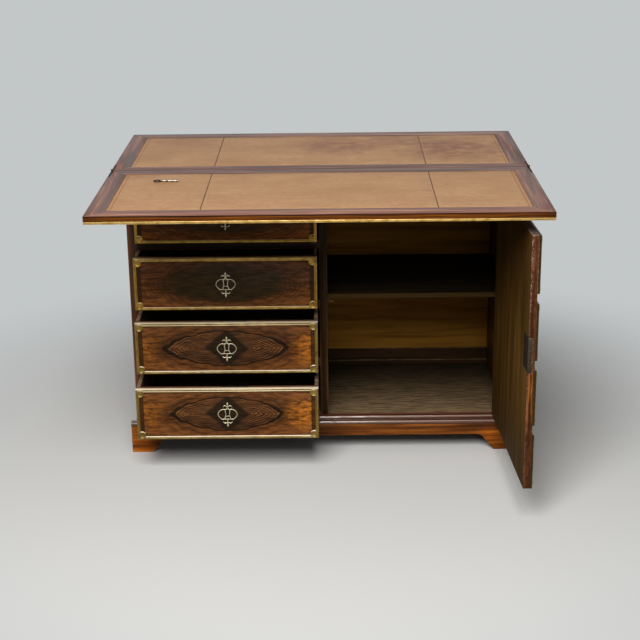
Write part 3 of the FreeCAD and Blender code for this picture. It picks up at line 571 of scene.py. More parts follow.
def begun(name):
    """Names the piece that was just added, sets its turn in its mesh, and opens it with all selected."""
    piece = bpy.context.object
    piece.name = name
    bpy.ops.object.transform_apply(location=False, rotation=True, scale=False)
    open_mesh()
    return piece


def grow(size, forward, steps):
    """Extrudes the selected face through steps, each a width, a height and how far forward it lies."""
    for width, height, reach in steps:
        bpy.ops.mesh.extrude_region_move(TRANSFORM_OT_translate={"value": (0, forward - reach, 0)})
        share = (width / size[0], 1, height / size[1])
        bpy.ops.transform.resize(value=share, center_override=(0, 0, 0))
        size = (width, height)
        forward = reach


def face_outwards():
    """Turns every face of the mesh in edit mode outwards."""
    bpy.ops.mesh.select_all(action="SELECT")
    bpy.ops.mesh.normals_make_consistent(inside=False)


def mitred_frame(name, width, height, flange):
    """A mitred angle round a rectangle, facing forward at zero depth, with a flat back sunk in the wood."""
    bpy.ops.object.select_all(action="DESELECT")
    bpy.ops.mesh.primitive_plane_add(size=1, rotation=STOOD_UP)
    piece = begun(name)
    bpy.ops.transform.resize(value=(width, 1, height))
    bpy.ops.transform.translate(value=(0, flange, 0))
    section = (*BINDING_SECTION, (ANGLE_THICK, -flange / MM))
    grow((width, height), -flange, [(width - 2 * inward * MM, height - 2 * inward * MM, forward * MM)
                                    for inward, forward in section])
    bpy.ops.mesh.delete(type="ONLY_FACE")
    face_outwards()
    shut_mesh()
    return piece


def grown_boss(name, foot, steps):
    """A round piece grown forward from a disc, as a radius and how far forward it lies, in millimetres."""
    radius, forward = (value * MM for value in foot)
    bpy.ops.object.select_all(action="DESELECT")
    bpy.ops.mesh.primitive_circle_add(vertices=BOSS_SIDES, radius=radius, fill_type="NGON", rotation=STOOD_UP)
    piece = begun(name)
    bpy.ops.transform.translate(value=(0, -forward, 0))
    grow((radius, radius), forward, [(wide * MM, wide * MM, reach * MM) for wide, reach in steps])
    face_outwards()
    shut_mesh()
    return piece


def copied(name, pattern, matrix):
    """A copy of a pattern with its own mesh, set in place."""
    piece = bpy.data.objects.new(name, pattern.data.copy())
    bpy.context.scene.collection.objects.link(piece)
    piece.data.transform(matrix)
    return piece


def joined(name, pieces):
    bpy.ops.object.select_all(action="DESELECT")
    for piece in pieces:
        piece.select_set(True)
    bpy.context.view_layer.objects.active = pieces[0]
    bpy.ops.object.join()
    pieces[0].name = name
    return pieces[0]


tarnish, given, told = new_group(
    "tarnish", {"Vector": "Vector", "Spots": "Float"}, {"Tarnish": "Float", "Scratches": "Float"})
clouds = cloudy(tarnish, given["Vector"], (60, 60, 60), 0.35, 0.7, 0.0, 0.8, detail=6, distortion=0.5)
specks = cloudy(tarnish, given["Vector"], (420, 420, 420), 0.55, 0.75, detail=3)
feed(tarnish, told, {"Tarnish": calc(tarnish, "MAXIMUM", clouds, times(tarnish, specks, given["Spots"])),
                     "Scratches": noise(tarnish, given["Vector"], (300, 900, 900), detail=2)})


def brass(name, bright, dull, highlight, gloss=0.3, spots=0.5, metallic=1.0, highlight_matte=0.0, face=None):
    """Old brass: bright metal under a cloudy tarnish, painted pale as a highlight where it faces up, with
    fine scratches.

    With a face given, what turns away from it is painted dark as shade.
    """
    made, tree, shader, place, normal = new_finish(name)
    skin = placed(tree, tarnish, {"Vector": place, "Spots": spots})
    upright = axes(tree, normal)["Z"]
    # Painted highlight: up-facing faces are mixed towards a pale colour, and made less metallic at the end.
    metal = layered(tree, colour(bright), (skin["Tarnish"], dull),
                    (level(tree, upright, 0.25, 0.8, 0.0, 0.85), highlight))
    # Painted shade: faces that turn away from the given face are darkened.
    if face:
        facing = vector(tree, "DOT_PRODUCT", normal, face)
        metal = mixed(tree, level(tree, facing, 0.2, 0.5, 0.85, 0.0), metal, "2c261b")
    roughness = level(tree, skin["Tarnish"], 0.0, 1.0, gloss, gloss + 0.2)
    surface(tree, shader, metal, roughness, METAL_SHEEN, skin["Scratches"], SCRATCH_DEPTH)
    feed(tree, shader, {"Metallic": level(tree, upright, 0.3, 0.7, metallic, metallic - highlight_matte)})
    return made


def bound(name, width, height, flange, finish):
    """The whole binding of one front: the mitred angle and its four lobes."""
    pieces = [mitred_frame(name, width, height, flange)]
    lobe = grown_boss("lobe", LOBE_FOOT, LOBE)
    for x in (LOBE_INSET - width / 2, width / 2 - LOBE_INSET):
        for z in (LOBE_INSET - height / 2, height / 2 - LOBE_INSET):
            pieces.append(copied("corner_lobe", lobe, Matrix.Translation((x, 0, z))))
    bpy.data.objects.remove(lobe)
    made = joined(name, pieces)
    painted(made, finish)
    bpy.ops.object.shade_smooth_by_angle(angle=SMOOTH_BRASS)
    return made


# The pale colours for up-facing brass are painted highlights.
binding_brass = brass("binding_brass", "967c40", "685324", highlight="fff0d2", highlight_matte=0.85)
golden_brass = brass("golden_brass", "9c7a36", "6a4f1c", highlight="f6dfae", highlight_matte=0.8)
low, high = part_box("drawer_1_binding")
binding_pattern = bound("binding_pattern", high.x - low.x, high.z - low.z, high.y - low.y, binding_brass)
for number in drawer_numbers:
    low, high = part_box(f"drawer_{number}_binding")
    spot = Matrix.Translation(((low.x + high.x) / 2, low.y, (low.z + high.z) / 2))
    binding = copied(f"binding_{number}", binding_pattern, spot)
    if number in GOLDEN_ROWS:
        painted(binding, golden_brass)
    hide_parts(f"drawer_{number}_binding")
    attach(binding, f"drawer_{number}")

# Escutcheons: keyhole plates cast in pale brass, a waisted keyhole frame between two open loops, with a bud
# and two leaves above and below. Each is filed round on its face and pinned to the veneer.
STRAP_FLAT = 0.7
PLATE_SCALE = 0.955
PAIRED_STRAPS = {
    "loop": ((5.0, 12.9, 1.1), (9.2, 14.6, 1.1), (15.6, 13.2, 1.1), (22.2, 7.6, 1.1), (24.4, 0.6, 1.1),
             (21.4, -6.0, 1.1), (17.0, -9.8, 1.1), (13.8, -13.0, 1.1), (9.6, -12.2, 1.1), (5.0, -12.2, 1.1)),
    "knee": ((13.2, -11.4, 1.7), (14.2, -12.8, 1.6), (15.0, -14.0, 0.8)),
    "shoulder": ((0.0, 19.0, 1.3), (1.0, 16.4, 1.5), (3.0, 14.2, 1.8), (6.2, 12.6, 1.5)),
    "jamb": ((5.4, 13.2, 1.2), (6.2, 9.0, 1.1), (4.6, 4.4, 1.0), (4.2, 0.4, 1.0), (5.4, -4.6, 1.1),
             (7.4, -10.0, 1.2), (7.8, -12.0, 1.2)),
    "top_leaf": ((0.8, 20.6, 0.9), (3.2, 22.2, 1.2), (6.4, 24.6, 1.5), (9.0, 23.0, 1.2), (11.6, 20.2, 0.5)),
    "foot_leaf": ((0.8, -21.4, 0.9), (3.4, -22.0, 1.2), (7.0, -23.2, 1.5), (9.4, -21.6, 1.2),
                  (11.6, -18.8, 0.5)),
}
MIDDLE_STRAPS = {
    "sill": ((-7.4, -11.8, 1.0), (-3.0, -12.2, 0.8), (3.0, -12.2, 0.8), (7.4, -11.8, 1.0)),
    "bar": ((-4.6, -4.6, 0.7), (-1.6, -3.8, 0.8), (1.6, -3.8, 0.8), (4.6, -4.6, 0.7)),
    "neck": ((0.0, 18.0, 1.4), (0.0, 20.0, 1.2), (0.0, 24.6, 1.2)),
    "drop": ((0.0, -11.6, 1.4), (0.0, -16.4, 1.2), (0.0, -24.6, 1.2)),
    "bud": ((0.0, 23.6, 1.4), (0.0, 26.2, 2.6), (0.0, 29.4, 2.6), (0.0, 32.4, 0.6)),
    "foot_bud": ((0.0, -24.0, 1.4), (0.0, -26.8, 2.6), (0.0, -29.8, 2.6), (0.0, -32.8, 0.6)),
}
CURVE_STEPS = 10
ROUND_STEPS = 4
VOXEL = 0.00034
THINNED = 0.2
PLATE_STAND = 0.0011
PLATE_DROP = 0.0017


def strap(name, points):
    """A cast strap filed flat, along points with a place across, a height and a half width in millimetres."""
    bpy.ops.object.select_all(action="DESELECT")
    bpy.ops.curve.primitive_nurbs_path_add(location=(0, 0, 0))
    piece = bpy.context.object
    piece.name = name
    line = piece.data
    line.splines.clear()
    spline = line.splines.new("NURBS")
    spline.points.add(len(points) - 1)
    for point, (x, z, half_width) in zip(spline.points, points):
        point.co = (x * MM, 0, z * MM, 1)
        point.radius = half_width
    spline.order_u = 3
    spline.use_endpoint_u = True
    spline.resolution_u = CURVE_STEPS
    line.bevel_depth = MM
    line.bevel_resolution = ROUND_STEPS
    line.use_fill_caps = True
    bpy.ops.object.convert(target="MESH")
    piece = bpy.context.object
    open_mesh()
    bpy.ops.transform.resize(value=(PLATE_SCALE, STRAP_FLAT, PLATE_SCALE), center_override=(0, 0, 0))
    shut_mesh()
    return piece


straps = []
for side, hand in (("left", -1), ("right", 1)):
    for name, points in PAIRED_STRAPS.items():
        straps.append(strap(f"{name}_{side}", [(hand * x, z, half_width) for x, z, half_width in points]))
for name, points in MIDDLE_STRAPS.items():
    straps.append(strap(name, points))
plate_pattern = joined("plate_pattern", straps)
select_only(plate_pattern)
cast = plate_pattern.modifiers.new("cast", "REMESH")
cast.mode = "VOXEL"
cast.voxel_size = VOXEL
bpy.ops.object.modifier_apply(modifier="cast")
thinned = plate_pattern.modifiers.new("thinned", "DECIMATE")
thinned.ratio = THINNED
bpy.ops.object.modifier_apply(modifier="thinned")
bpy.ops.object.shade_smooth_by_angle(angle=SMOOTH_BRASS)

# Its pale up-facing colour is a painted highlight.
plate_brass = brass("plate_brass", "ccbe9c", "9c8c6c", highlight="f0e4cc", gloss=0.36, spots=0.4, metallic=0.6)
painted(plate_pattern, plate_brass)
for number in drawer_numbers:
    low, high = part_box(f"drawer_{number}_front")
    spot = ((low.x + high.x) / 2, low.y - PLATE_STAND, (low.z + high.z) / 2 - PLATE_DROP)
    plate = copied(f"escutcheon_{number}", plate_pattern, Matrix.Translation(spot))
    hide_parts(f"drawer_{number}_escutcheon")
    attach(plate, f"drawer_{number}")

# Door: one upright board that carries four false fronts, bound and pinned like the drawers beside it.
# Its inner face is bare and olive brown, and its free edge is rubbed red and pale at the arris.
DOOR_ARRIS = 0.0022
DOOR_ROUGH = 0.65
DOOR_SHEEN = 0.03
DOOR_DEPTH = 0.00006
RUBBED_ROUGH = 0.5
RUBBED_DEPTH = 0.0002
WORN_HEIGHTS = (0.48, 0.58)
WORN_WIDE = 0.008
TAWNY_FROM = (0.20, 0.28)
TAWNY_TO = (0.36, 0.42)
swing = next(joint for joint in frame["joints"] if joint["name"] == "door_swing")
open_turn = math.radians(-swing["range_deg"][0])
pin = Vector(swing["pos_m"])
swung = Matrix.Translation(pin) @ Matrix.Rotation(open_turn, 4, "Z") @ Matrix.Translation(-pin)
outward = Matrix.Rotation(open_turn, 3, "Z") @ Vector((0, -1, 0))


def shut_box(node):
    """The lowest and highest corners of a piece of the door, as it lies when the door is shut."""
    back = swung.inverted()
    places = [back @ vertex.co for vertex in frame["nodes"][node].data.vertices]
    return [Vector(end(place[axis] for place in places) for axis in range(3)) for end in (min, max)]


inner_face = (swung @ shut_box("door_panel")[1]).dot(outward)


def door_timber(name):
    """Upright grain, olive on the inner face and darker towards its top, with painted shade towards its foot;
    dark outside, red on the edges.
    """
    made, tree, shader, place, normal = new_finish(name)
    grain = grained(tree, place, "Z")
    height = axes(tree, place)["Z"]
    olive = ramp(tree, grain["Bands"], (0.0, "523a15"), (0.5, "63471d"), (1.0, "755628"))
    # The inner face darkens towards its top, and towards its foot as painted shade.
    olive = layered(tree, olive, (level(tree, height, 0.3, 0.66, 0.0, 0.55), "352410"),
                    (level(tree, height, 0.1, 0.35, 0.5, 0.0), "3a2a0c"))
    red = ramp(tree, grain["Bands"], (0.0, "2c150c"), (0.5, "512c18"), (1.0, "744624"))
    tawny = ramp(tree, grain["Streaks"], (0.0, "a8672a"), (0.5, "6e3f18"), (1.0, "331a0c"))
    belt = times(tree, level(tree, height, *TAWNY_FROM), level(tree, height, *TAWNY_TO, 0.75, 0.08))
    blotches = cloudy(tree, place, (150, 150, 60), 0.4, 0.65, 0.0, 0.5, detail=6)
    inward = vector(tree, "DOT_PRODUCT", place, outward)
    near = level(tree, inward, inner_face, inner_face + WORN_WIDE, 1.0, 0.0)
    handled = level(tree, height, *WORN_HEIGHTS, 0.35, 0.9)
    flecks = cloudy(tree, place, (420, 420, 300), 0.46, 0.66, detail=4)
    red = layered(tree, mixed(tree, belt, red, tawny), (blotches, "2a140c"),
                  (times(tree, near, handled, flecks), "a88c7e"))
    facing = vector(tree, "DOT_PRODUCT", normal, outward)
    wood = mixed(tree, level(tree, facing, -0.8, -0.5, 1.0, 0.0), red, olive)
    wood = layered(tree, wood, (level(tree, facing, 0.5, 0.8, 0.0, 0.75), "2c1a0e"),
                   (level(tree, axes(tree, normal)["Z"], 0.6, 0.9, 0.0, 0.6), "716963"),
                   (level(tree, grain["Streaks"], 0.1, 1.0, 0.0, 0.42), "33200e"))
    surface(tree, shader, wood, DOOR_ROUGH, DOOR_SHEEN, grain["Streaks"], DOOR_DEPTH)
    return made


def rubbed_arris(name):
    """Bare pale wood where hands have taken hold of the door, broken to flecks below."""
    made, tree, shader, place, _ = new_finish(name)
    grain = grained(tree, place, "Z")
    red = ramp(tree, grain["Bands"], (0.0, "331a10"), (0.5, "52301f"), (1.0, "6e4834"))
    handled = level(tree, axes(tree, place)["Z"], *WORN_HEIGHTS, 0.3, 0.9)
    flecks = cloudy(tree, place, (260, 260, 130), 0.4, 0.66, detail=6)
    wood = mixed(tree, times(tree, handled, flecks), red, "bca594")
    surface(tree, shader, wood, RUBBED_ROUGH, PINE_SHEEN, grain["Streaks"], RUBBED_DEPTH)
    return made


door_wood = door_timber("door_wood")
rubbed_door = rubbed_arris("rubbed_door")
eased("door_panel", DOOR_ARRIS, door_wood, rubbed_door, segments=3)
lowest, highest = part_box("drawer_4_front")
row_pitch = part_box("drawer_3_front")[0].z - lowest.z
row_lifts = [row * row_pitch for row in range(len(drawer_numbers))]
false_low, false_high = shut_box("false_fronts")
lowest_middle = Vector(((false_low.x + false_high.x) / 2, false_low.y, (lowest.z + highest.z) / 2))
false_half = (false_high.x - false_low.x) / 2
false_veneer = figured_front("false_veneer", swung @ lowest_middle, false_half, PLAIN_FIGURE,
                             turn=-open_turn, pitch=row_pitch, face=outward)
eased("false_fronts", FRONT_ARRIS, false_veneer)
bound_low, bound_high = shut_box("door_bindings")
row_low, row_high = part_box("drawer_4_binding")
# Its pale up-facing colour is a painted highlight, and its side legs, turning from the door's outer face, are
# painted dark as shade.
door_brass = brass("door_brass", "967c40", "685324", highlight="fff0d2", face=outward)
false_pattern = bound("false_pattern", bound_high.x - bound_low.x, row_high.z - row_low.z,
                      bound_high.y - bound_low.y, door_brass)
bindings = []
plates = []
for lift in row_lifts:
    spot = Vector(((bound_low.x + bound_high.x) / 2, bound_low.y, (row_low.z + row_high.z) / 2 + lift))
    bindings.append(copied("false_binding", false_pattern, swung @ Matrix.Translation(spot)))
    spot = lowest_middle + Vector((0, -PLATE_STAND, lift - PLATE_DROP))
    plates.append(copied("false_plate", plate_pattern, swung @ Matrix.Translation(spot)))
for name, node, pieces in (("door_frames", "door_bindings", bindings),
                           ("door_plates", "door_escutcheons", plates)):
    made = joined(name, pieces)
    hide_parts(node)
    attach(made, "door")
for pattern in (binding_pattern, false_pattern, plate_pattern):
    bpy.data.objects.remove(pattern)

# Locks and bolts: iron boxes let into the wood and screwed down, dark brown with old rust and handling.
# The top plates show in the edges of the drawer fronts, and the door's lock in its free edge.
LOCK_ARRIS = 0.0006
RUST_ROUGH = 0.75
RUST_DEPTH = 0.0003
rust, given, told = new_group("rust", {"Vector": "Vector"}, {"Rust": "Float"})
feed(rust, told, {
    "Rust": cloudy(rust, given["Vector"], (140, 140, 140), 0.4, 0.7, detail=6, distortion=0.6)})


def old_iron(name, clean, rusty, gloss=0.4, metallic=0.85, shade_way=None):
    """Iron under cloudy rust, painted black as shade where it faces a shaded way."""
    made, tree, shader, place, normal = new_finish(name)
    rusted = placed(tree, rust, {"Vector": place})["Rust"]
    skin = mixed(tree, rusted, colour(clean), rusty)
    # Painted shade: black where the iron faces the given way.
    if shade_way:
        facing = vector(tree, "DOT_PRODUCT", normal, shade_way)
        skin = mixed(tree, level(tree, facing, 0.5, 0.8, 0.0, 0.95), skin, "060403")
    roughness = level(tree, rusted, 0.0, 1.0, gloss, RUST_ROUGH)
    surface(tree, shader, skin, roughness, METAL_SHEEN, rusted, RUST_DEPTH)
    feed(tree, shader, {"Metallic": metallic})
    return made


iron = old_iron("iron", "382e20", "261d12", metallic=0.4)
# The drawers' locks and bolts are painted black as shade where they face forward.
keyhole_shaded_iron = old_iron("keyhole_shaded_iron", "463a2a", "2e2418", metallic=0.4, shade_way=(0, -1, 0))
rubbed_iron = old_iron("rubbed_iron", "75654a", "443826")
for number in drawer_numbers:
    for piece in ("lock", "bolt"):
        eased(f"drawer_{number}_{piece}", LOCK_ARRIS, keyhole_shaded_iron)
for lock in ("door_lock", "door_bolt"):
    eased(lock, LOCK_ARRIS, iron, rubbed_iron)

# Hinges: plain brass butts on the door, and halved arms with a rivet at the ends of the fold, browned dark.
# They lie flush in the wood, and only their knuckles and eyes stand clear.
# Their pale up-facing colours are painted highlights.
hinge_brass = brass("hinge_brass", "8c7646", "54441f", highlight="a38c58", gloss=0.36)
bronze = brass("bronze", "3a2d1e", "241b12", highlight="3a2d1e", gloss=0.5)
for hinge, finish in (("door_hinge_plates", hinge_brass), ("door_hinge_leaves", hinge_brass),
                      ("top_hinge_arms", bronze), ("leaf_hinge_arms", bronze)):
    painted(frame["nodes"][hinge], finish)

# Lopers: two square bars that slide out of the frieze and carry the open leaf, each with a small knob.
# They are rubbed dull by sliding in their guides.
loper_wood = timber("loper_wood", "3a2313", "5e3b21", "7a5132", along="Y", gloss=0.55)
for loper in ("loper_left", "loper_right"):
    eased(loper, CASE_ARRIS, loper_wood)

# Top: two leaves framed in rosewood bands that meet at mitres round a sunk field, polished to a soft
# shine. The edges are redder where the light doesn't bleach them, and a brass angle is let in round the
# lower edges of the front leaf.
LEAF_ARRIS = 0.0012
EDGING_ARRIS = 0.0004
BAND_LENGTH = 1.6
BAND_STRIPES = 150.0
BAND_DEEP = 20
MITRE_SOFT = 0.0003
LEAF_ROUGH = 0.36
LEAF_SHEEN = 0.36
LEAF_DEPTH = 0.00005
EDGE_SWAY = 0.7
EDGE_CORNER = 0.07
EDGE_ROUGH = 0.5
EDGE_SHEEN = 0.06
EDGE_DEPTH = 0.0001
UPRIGHT = 0.3
EDGE_INDEX = 2


def leaf_timber(name, low, high):
    """Bands whose grain follows each side of the leaf, mitred at the corners, with a plain back."""
    made, tree, shader, place, normal = new_finish(name)
    parts = axes(tree, place)
    from_end = calc(tree, "SUBTRACT", high.x, calc(tree, "ABSOLUTE", parts["X"]))
    from_long = calc(tree, "MINIMUM", apart(tree, parts["Y"], low.y), apart(tree, parts["Y"], high.y))
    past_mitre = calc(tree, "SUBTRACT", from_long, from_end)
    shades = []
    for along, stretch, tints in (
            ("X", (BAND_LENGTH, BAND_STRIPES, BAND_DEEP), ("4e2a1e", "8c5844", "b07a60")),
            ("Y", (BAND_STRIPES, BAND_LENGTH, BAND_DEEP), ("46241a", "804c38", "a36c52"))):
        grain = grained(tree, place, along)
        band = ramp(tree, grain["Bands"], *zip((0.0, 0.5, 1.0), tints))
        stripes = cloudy(tree, place, stretch, 0.4, 0.62, 0.0, 0.55, detail=4, distortion=0.3)
        shades.append(layered(tree, band, (stripes, "4c352b"),
                              (level(tree, grain["Streaks"], 0.1, 1.0, 0.0, 0.6), "351c12")))
    wood = mixed(tree, level(tree, past_mitre, -MITRE_SOFT, MITRE_SOFT), *shades)
    joint = level(tree, calc(tree, "ABSOLUTE", past_mitre), MITRE_SOFT, 3 * MITRE_SOFT, 0.6, 0.0)
    wood = mixed(tree, joint, wood, "2b170d")
    bleached = level(tree, calc(tree, "ABSOLUTE", parts["Y"]), 0.03, high.y - low.y, 1.15, 1.35)
    wood = mixed(tree, 1.0, wood, bleached, blend="MULTIPLY")
    # Painted shade: a thin dark line along the outer edges of the bands.
    rim_shade = level(tree, calc(tree, "MINIMUM", from_long, from_end), 0.0008, 0.0024, 0.6, 0.0)
    wood = mixed(tree, rim_shade, wood, "2e1a14")
    grain = grained(tree, place, "X")
    under = ramp(tree, grain["Bands"], (0.0, "331a0e"), (0.5, "5c3620"), (1.0, "7a4c2c"))
    under = mixed(tree, level(tree, grain["Streaks"], 0.1, 1.0, 0.0, 0.6), under, "24130a")
    wood = mixed(tree, level(tree, axes(tree, normal)["Z"], -0.9, -0.4, 1.0, 0.0), wood, under)
    surface(tree, shader, wood, LEAF_ROUGH, LEAF_SHEEN, grain["Streaks"], LEAF_DEPTH)
    return made


edge_streaks, given, told = new_group(
    "edge_streaks", {"Vector": "Vector", "Down": "Float"}, {"Color": "Color", "Streaks": "Float"})
streaks = noise(edge_streaks, given["Vector"], (5, 5, 420), detail=5)
middle = calc(edge_streaks, "SUBTRACT", given["Down"], EDGE_SWAY / 2)
wavy = calc(edge_streaks, "MULTIPLY_ADD", streaks, EDGE_SWAY, middle)
tawny = ramp(edge_streaks, wavy, (0.08, "241006"), (0.22, "5e300a"), (0.36, "784212"), (0.46, "321606"),
             (0.6, "784414"))
feed(edge_streaks, told, {"Color": tawny, "Streaks": streaks})


def leaf_edge(name, low, high):
    """The edges of a leaf in long streaks, dark under the arris and tawny below, with little shine."""
    made, tree, shader, place, _ = new_finish(name)
    parts = axes(tree, place)
    down = calc(tree, "DIVIDE", calc(tree, "SUBTRACT", high.z, parts["Z"]), high.z - low.z)
    streaked = placed(tree, edge_streaks, {"Vector": place, "Down": down})
    corner = level(tree, calc(tree, "ABSOLUTE", parts["X"]), high.x - EDGE_CORNER, high.x, 0.0, 0.6)
    wood = mixed(tree, corner, streaked["Color"], "2a1206")
    surface(tree, shader, wood, EDGE_ROUGH, EDGE_SHEEN, streaked["Streaks"], EDGE_DEPTH)
    return made


# The leaves' rounded arrises are painted dark as shade.
shaded_leaf_arris = timber("shaded_leaf_arris", "1e0d04", "301707", "4c2a10", along="X", gloss=0.4, sheen=0.1)
for node in ("rear_leaf", "front_leaf"):
    low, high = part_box(node)
    leaf = eased(node, LEAF_ARRIS, leaf_timber(node + "_wood", low, high), shaded_leaf_arris)
    leaf.data.materials.append(leaf_edge(node + "_edge", low, high))
    for face in leaf.data.polygons:
        if abs(face.normal.z) < UPRIGHT:
            face.material_index = EDGE_INDEX
# Its pale up-facing colour is a painted highlight.
edging_brass = brass("edging_brass", "f0c474", "94702f", highlight="f0d49a", gloss=0.3, spots=0.9)
eased("front_leaf_edging", EDGING_ARRIS, edging_brass)

# Leather: three skivers of tan leather glued in each field, a little dished and cockled with age, with
# a line tooled near each end. Damp has stained the rear leaf, most of all at its right.
LEATHER_ROUND = 0.0004
LEATHER_ROUGH = 0.5
LEATHER_SHEEN = 0.35
LEATHER_DEPTH = 0.0002
PEBBLES_PER_METRE = 700.0
COCKLE = 0.00016
COCKLES_ACROSS = 61
COCKLES_BACK = 47
SLANT_ACROSS = 23
SLANT_BACK = 71
PANEL_CUTS = 14
PANEL_LINES = (-0.249, 0.249)
PANEL_GAP = 0.0003
TOOLED_IN = 0.008
TOOLED_HALF = 0.0013
STAINS = {
    "rear_leather": ((0.33, 0.20, 0.14, 0.75), (0.30, 0.24, 0.06, 0.5), (0.04, 0.25, 0.11, 0.6),
                     (0.18, 0.31, 0.08, 0.5), (-0.34, 0.31, 0.08, 0.3)),
    "front_leather": ((0.2366, -0.2179, 0.012, 0.35), (0.2823, -0.1645, 0.008, 0.45),
                      (-0.2, -0.3, 0.03, 0.15)),
}
stain_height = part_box("rear_leather")[1].z


def leather_panel(name, low, high):
    """One sheet from a low to a high corner, rounded at its cut edges and slightly cockled on top."""
    bpy.ops.object.select_all(action="DESELECT")
    bpy.ops.mesh.primitive_cube_add(size=1)
    piece = begun(name)
    bpy.ops.transform.resize(value=high - low)
    bpy.ops.transform.translate(value=(low + high) / 2)
    shut_mesh()
    round_arrises(piece, LEATHER_ROUND)
    open_mesh()
    bpy.ops.mesh.subdivide(number_cuts=PANEL_CUTS)
    shut_mesh()
    top = high.z - LEATHER_ROUND
    for vertex in piece.data.vertices:
        x, y, z = vertex.co
        if z > top:
            wave = math.sin(x * COCKLES_ACROSS) * math.cos(y * COCKLES_BACK)
            wave += math.sin(x * SLANT_ACROSS + y * SLANT_BACK)
            vertex.co.z += COCKLE * (wave / 2 - 1)
    bpy.ops.object.shade_smooth_by_angle(angle=ARRIS_ANGLE)
    return piece


leather_skin, given, told = new_group(
    "leather_skin", {"Vector": "Vector"}, {"Color": "Color", "Pebble": "Float"})
tan = ramp(leather_skin, noise(leather_skin, given["Vector"], (7, 11, 7), detail=5, distortion=0.4),
           (0.3, "a97f54"), (0.5, "b78b60"), (0.72, "c2976a"))
for code, stretch, marks, detail in (("9a6c42", (5, 160, 5), (0.35, 0.7, 0.0, 0.25), 3),
                                     ("a8744c", (70, 130, 60), (0.38, 0.66, 0.0, 0.5), 8),
                                     ("8a5a34", (40, 300, 40), (0.6, 0.74, 0.0, 0.4), 5),
                                     ("d2a878", (40, 90, 30), (0.55, 0.8, 0.0, 0.35), 6)):
    mottled = cloudy(leather_skin, given["Vector"], stretch, *marks, detail=detail)
    tan = mixed(leather_skin, mottled, tan, code)
pebbles = put(leather_skin, "TexVoronoi", {"Vector": given["Vector"], "Scale": PEBBLES_PER_METRE}).outputs
feed(leather_skin, told, {"Color": tan, "Pebble": pebbles["Distance"]})


def tan_leather(name, half_length, stains):
    """Tan leather with a tooled line near each end, dark seams, and stains as x, y, radius and strength."""
    made, tree, shader, place, _ = new_finish(name)
    parts = axes(tree, place)
    along = calc(tree, "ABSOLUTE", parts["X"])
    from_tooling = apart(tree, along, half_length - TOOLED_IN)
    skin = placed(tree, leather_skin, {"Vector": place})
    tan = layered(tree, skin["Color"],
                  (level(tree, from_tooling, TOOLED_HALF * 0.6, TOOLED_HALF * 1.3, 0.75, 0.0), "94561f"),
                  (level(tree, along, half_length - 0.004, half_length - 0.001, 0.0, 0.5), "9a6430"))
    for line in PANEL_LINES:
        seam = level(tree, apart(tree, parts["X"], line), 0.0007, 0.0016, 0.92, 0.0)
        tan = mixed(tree, seam, tan, "56280e")
    patchy = cloudy(tree, place, (34, 46, 45), 0.34, 0.64, 0.35, 1.15, detail=8)
    for x, y, radius, strength in stains:
        away = vector(tree, "DISTANCE", place, (x, y, stain_height))
        ragged = calc(tree, "ADD", away, wander(tree, place, (28, 28, 28), radius * 1.3, detail=8))
        cover = level(tree, ragged, radius * 0.3, radius * 1.25, strength, 0.0)
        tan = mixed(tree, times(tree, cover, patchy), tan, "804c38")
    surface(tree, shader, tan, LEATHER_ROUGH, LEATHER_SHEEN, skin["Pebble"], LEATHER_DEPTH)
    return made


for node, body in (("rear_leather", "case"), ("front_leather", "leaf")):
    low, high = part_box(node)
    starts = (low.x, *(line + PANEL_GAP / 2 for line in PANEL_LINES))
    ends = (*(line - PANEL_GAP / 2 for line in PANEL_LINES), high.x)
    panels = [leather_panel(f"{node}_{i}", Vector((start, low.y, low.z)), Vector((end, high.y, high.z)))
              for i, (start, end) in enumerate(zip(starts, ends), start=1)]
    field = joined(node + "_panels", panels)
    painted(field, tan_leather(node + "_tan", high.x, STAINS[node]))
    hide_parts(node)
    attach(field, body)

# Key: forged iron, lying loose on the front leaf's leather, with a plain ring for its bow, a turned collar
# and a bright round shank with a small bit at its end.
SHANK_FOOT = (1.4, 0.0)
SHANK = ((1.6, 0.6), (2.0, 1.0), (2.15, 1.8), (2.15, 2.6), (1.7, 3.2), (1.6, 4.2), (2.15, 4.8), (2.15, 5.8),
         (2.05, 6.6), (2.1, 39.8), (1.8, 40.8), (1.2, 41.4))
COLLAR_RADIUS = 2.15 * MM
BOW_RADIUS = 7.0 * MM
BOW_WIRE = 1.9 * MM
BOW_OVAL = 0.82
BOW_SIDES = 36
WIRE_SIDES = 10
BIT = Vector((5.0, 6.5, 2.0)) * MM
BIT_PLACE = Vector((34.5, 4.6, -0.4)) * MM
BIT_ROUND = 0.5 * MM
KEY_PLACE = (-0.3602, -0.1128)
KEY_TURN = math.radians(-3)
shank = grown_boss("shank", SHANK_FOOT, SHANK)
shank.data.transform(Matrix.Rotation(math.radians(90), 4, "Z"))
bpy.ops.object.select_all(action="DESELECT")
bpy.ops.mesh.primitive_torus_add(major_radius=BOW_RADIUS, minor_radius=BOW_WIRE, major_segments=BOW_SIDES,
                                 minor_segments=WIRE_SIDES)
bow = begun("bow")
bpy.ops.transform.resize(value=(1, BOW_OVAL, BOW_OVAL))
bpy.ops.transform.translate(value=(-BOW_RADIUS, 0, 0))
shut_mesh()
bpy.ops.object.select_all(action="DESELECT")
bpy.ops.mesh.primitive_cube_add(size=1)
bit = begun("bit")
bpy.ops.transform.resize(value=BIT)
bpy.ops.transform.translate(value=BIT_PLACE)
bpy.ops.mesh.bevel(offset=BIT_ROUND, segments=2, affect="EDGES")
shut_mesh()
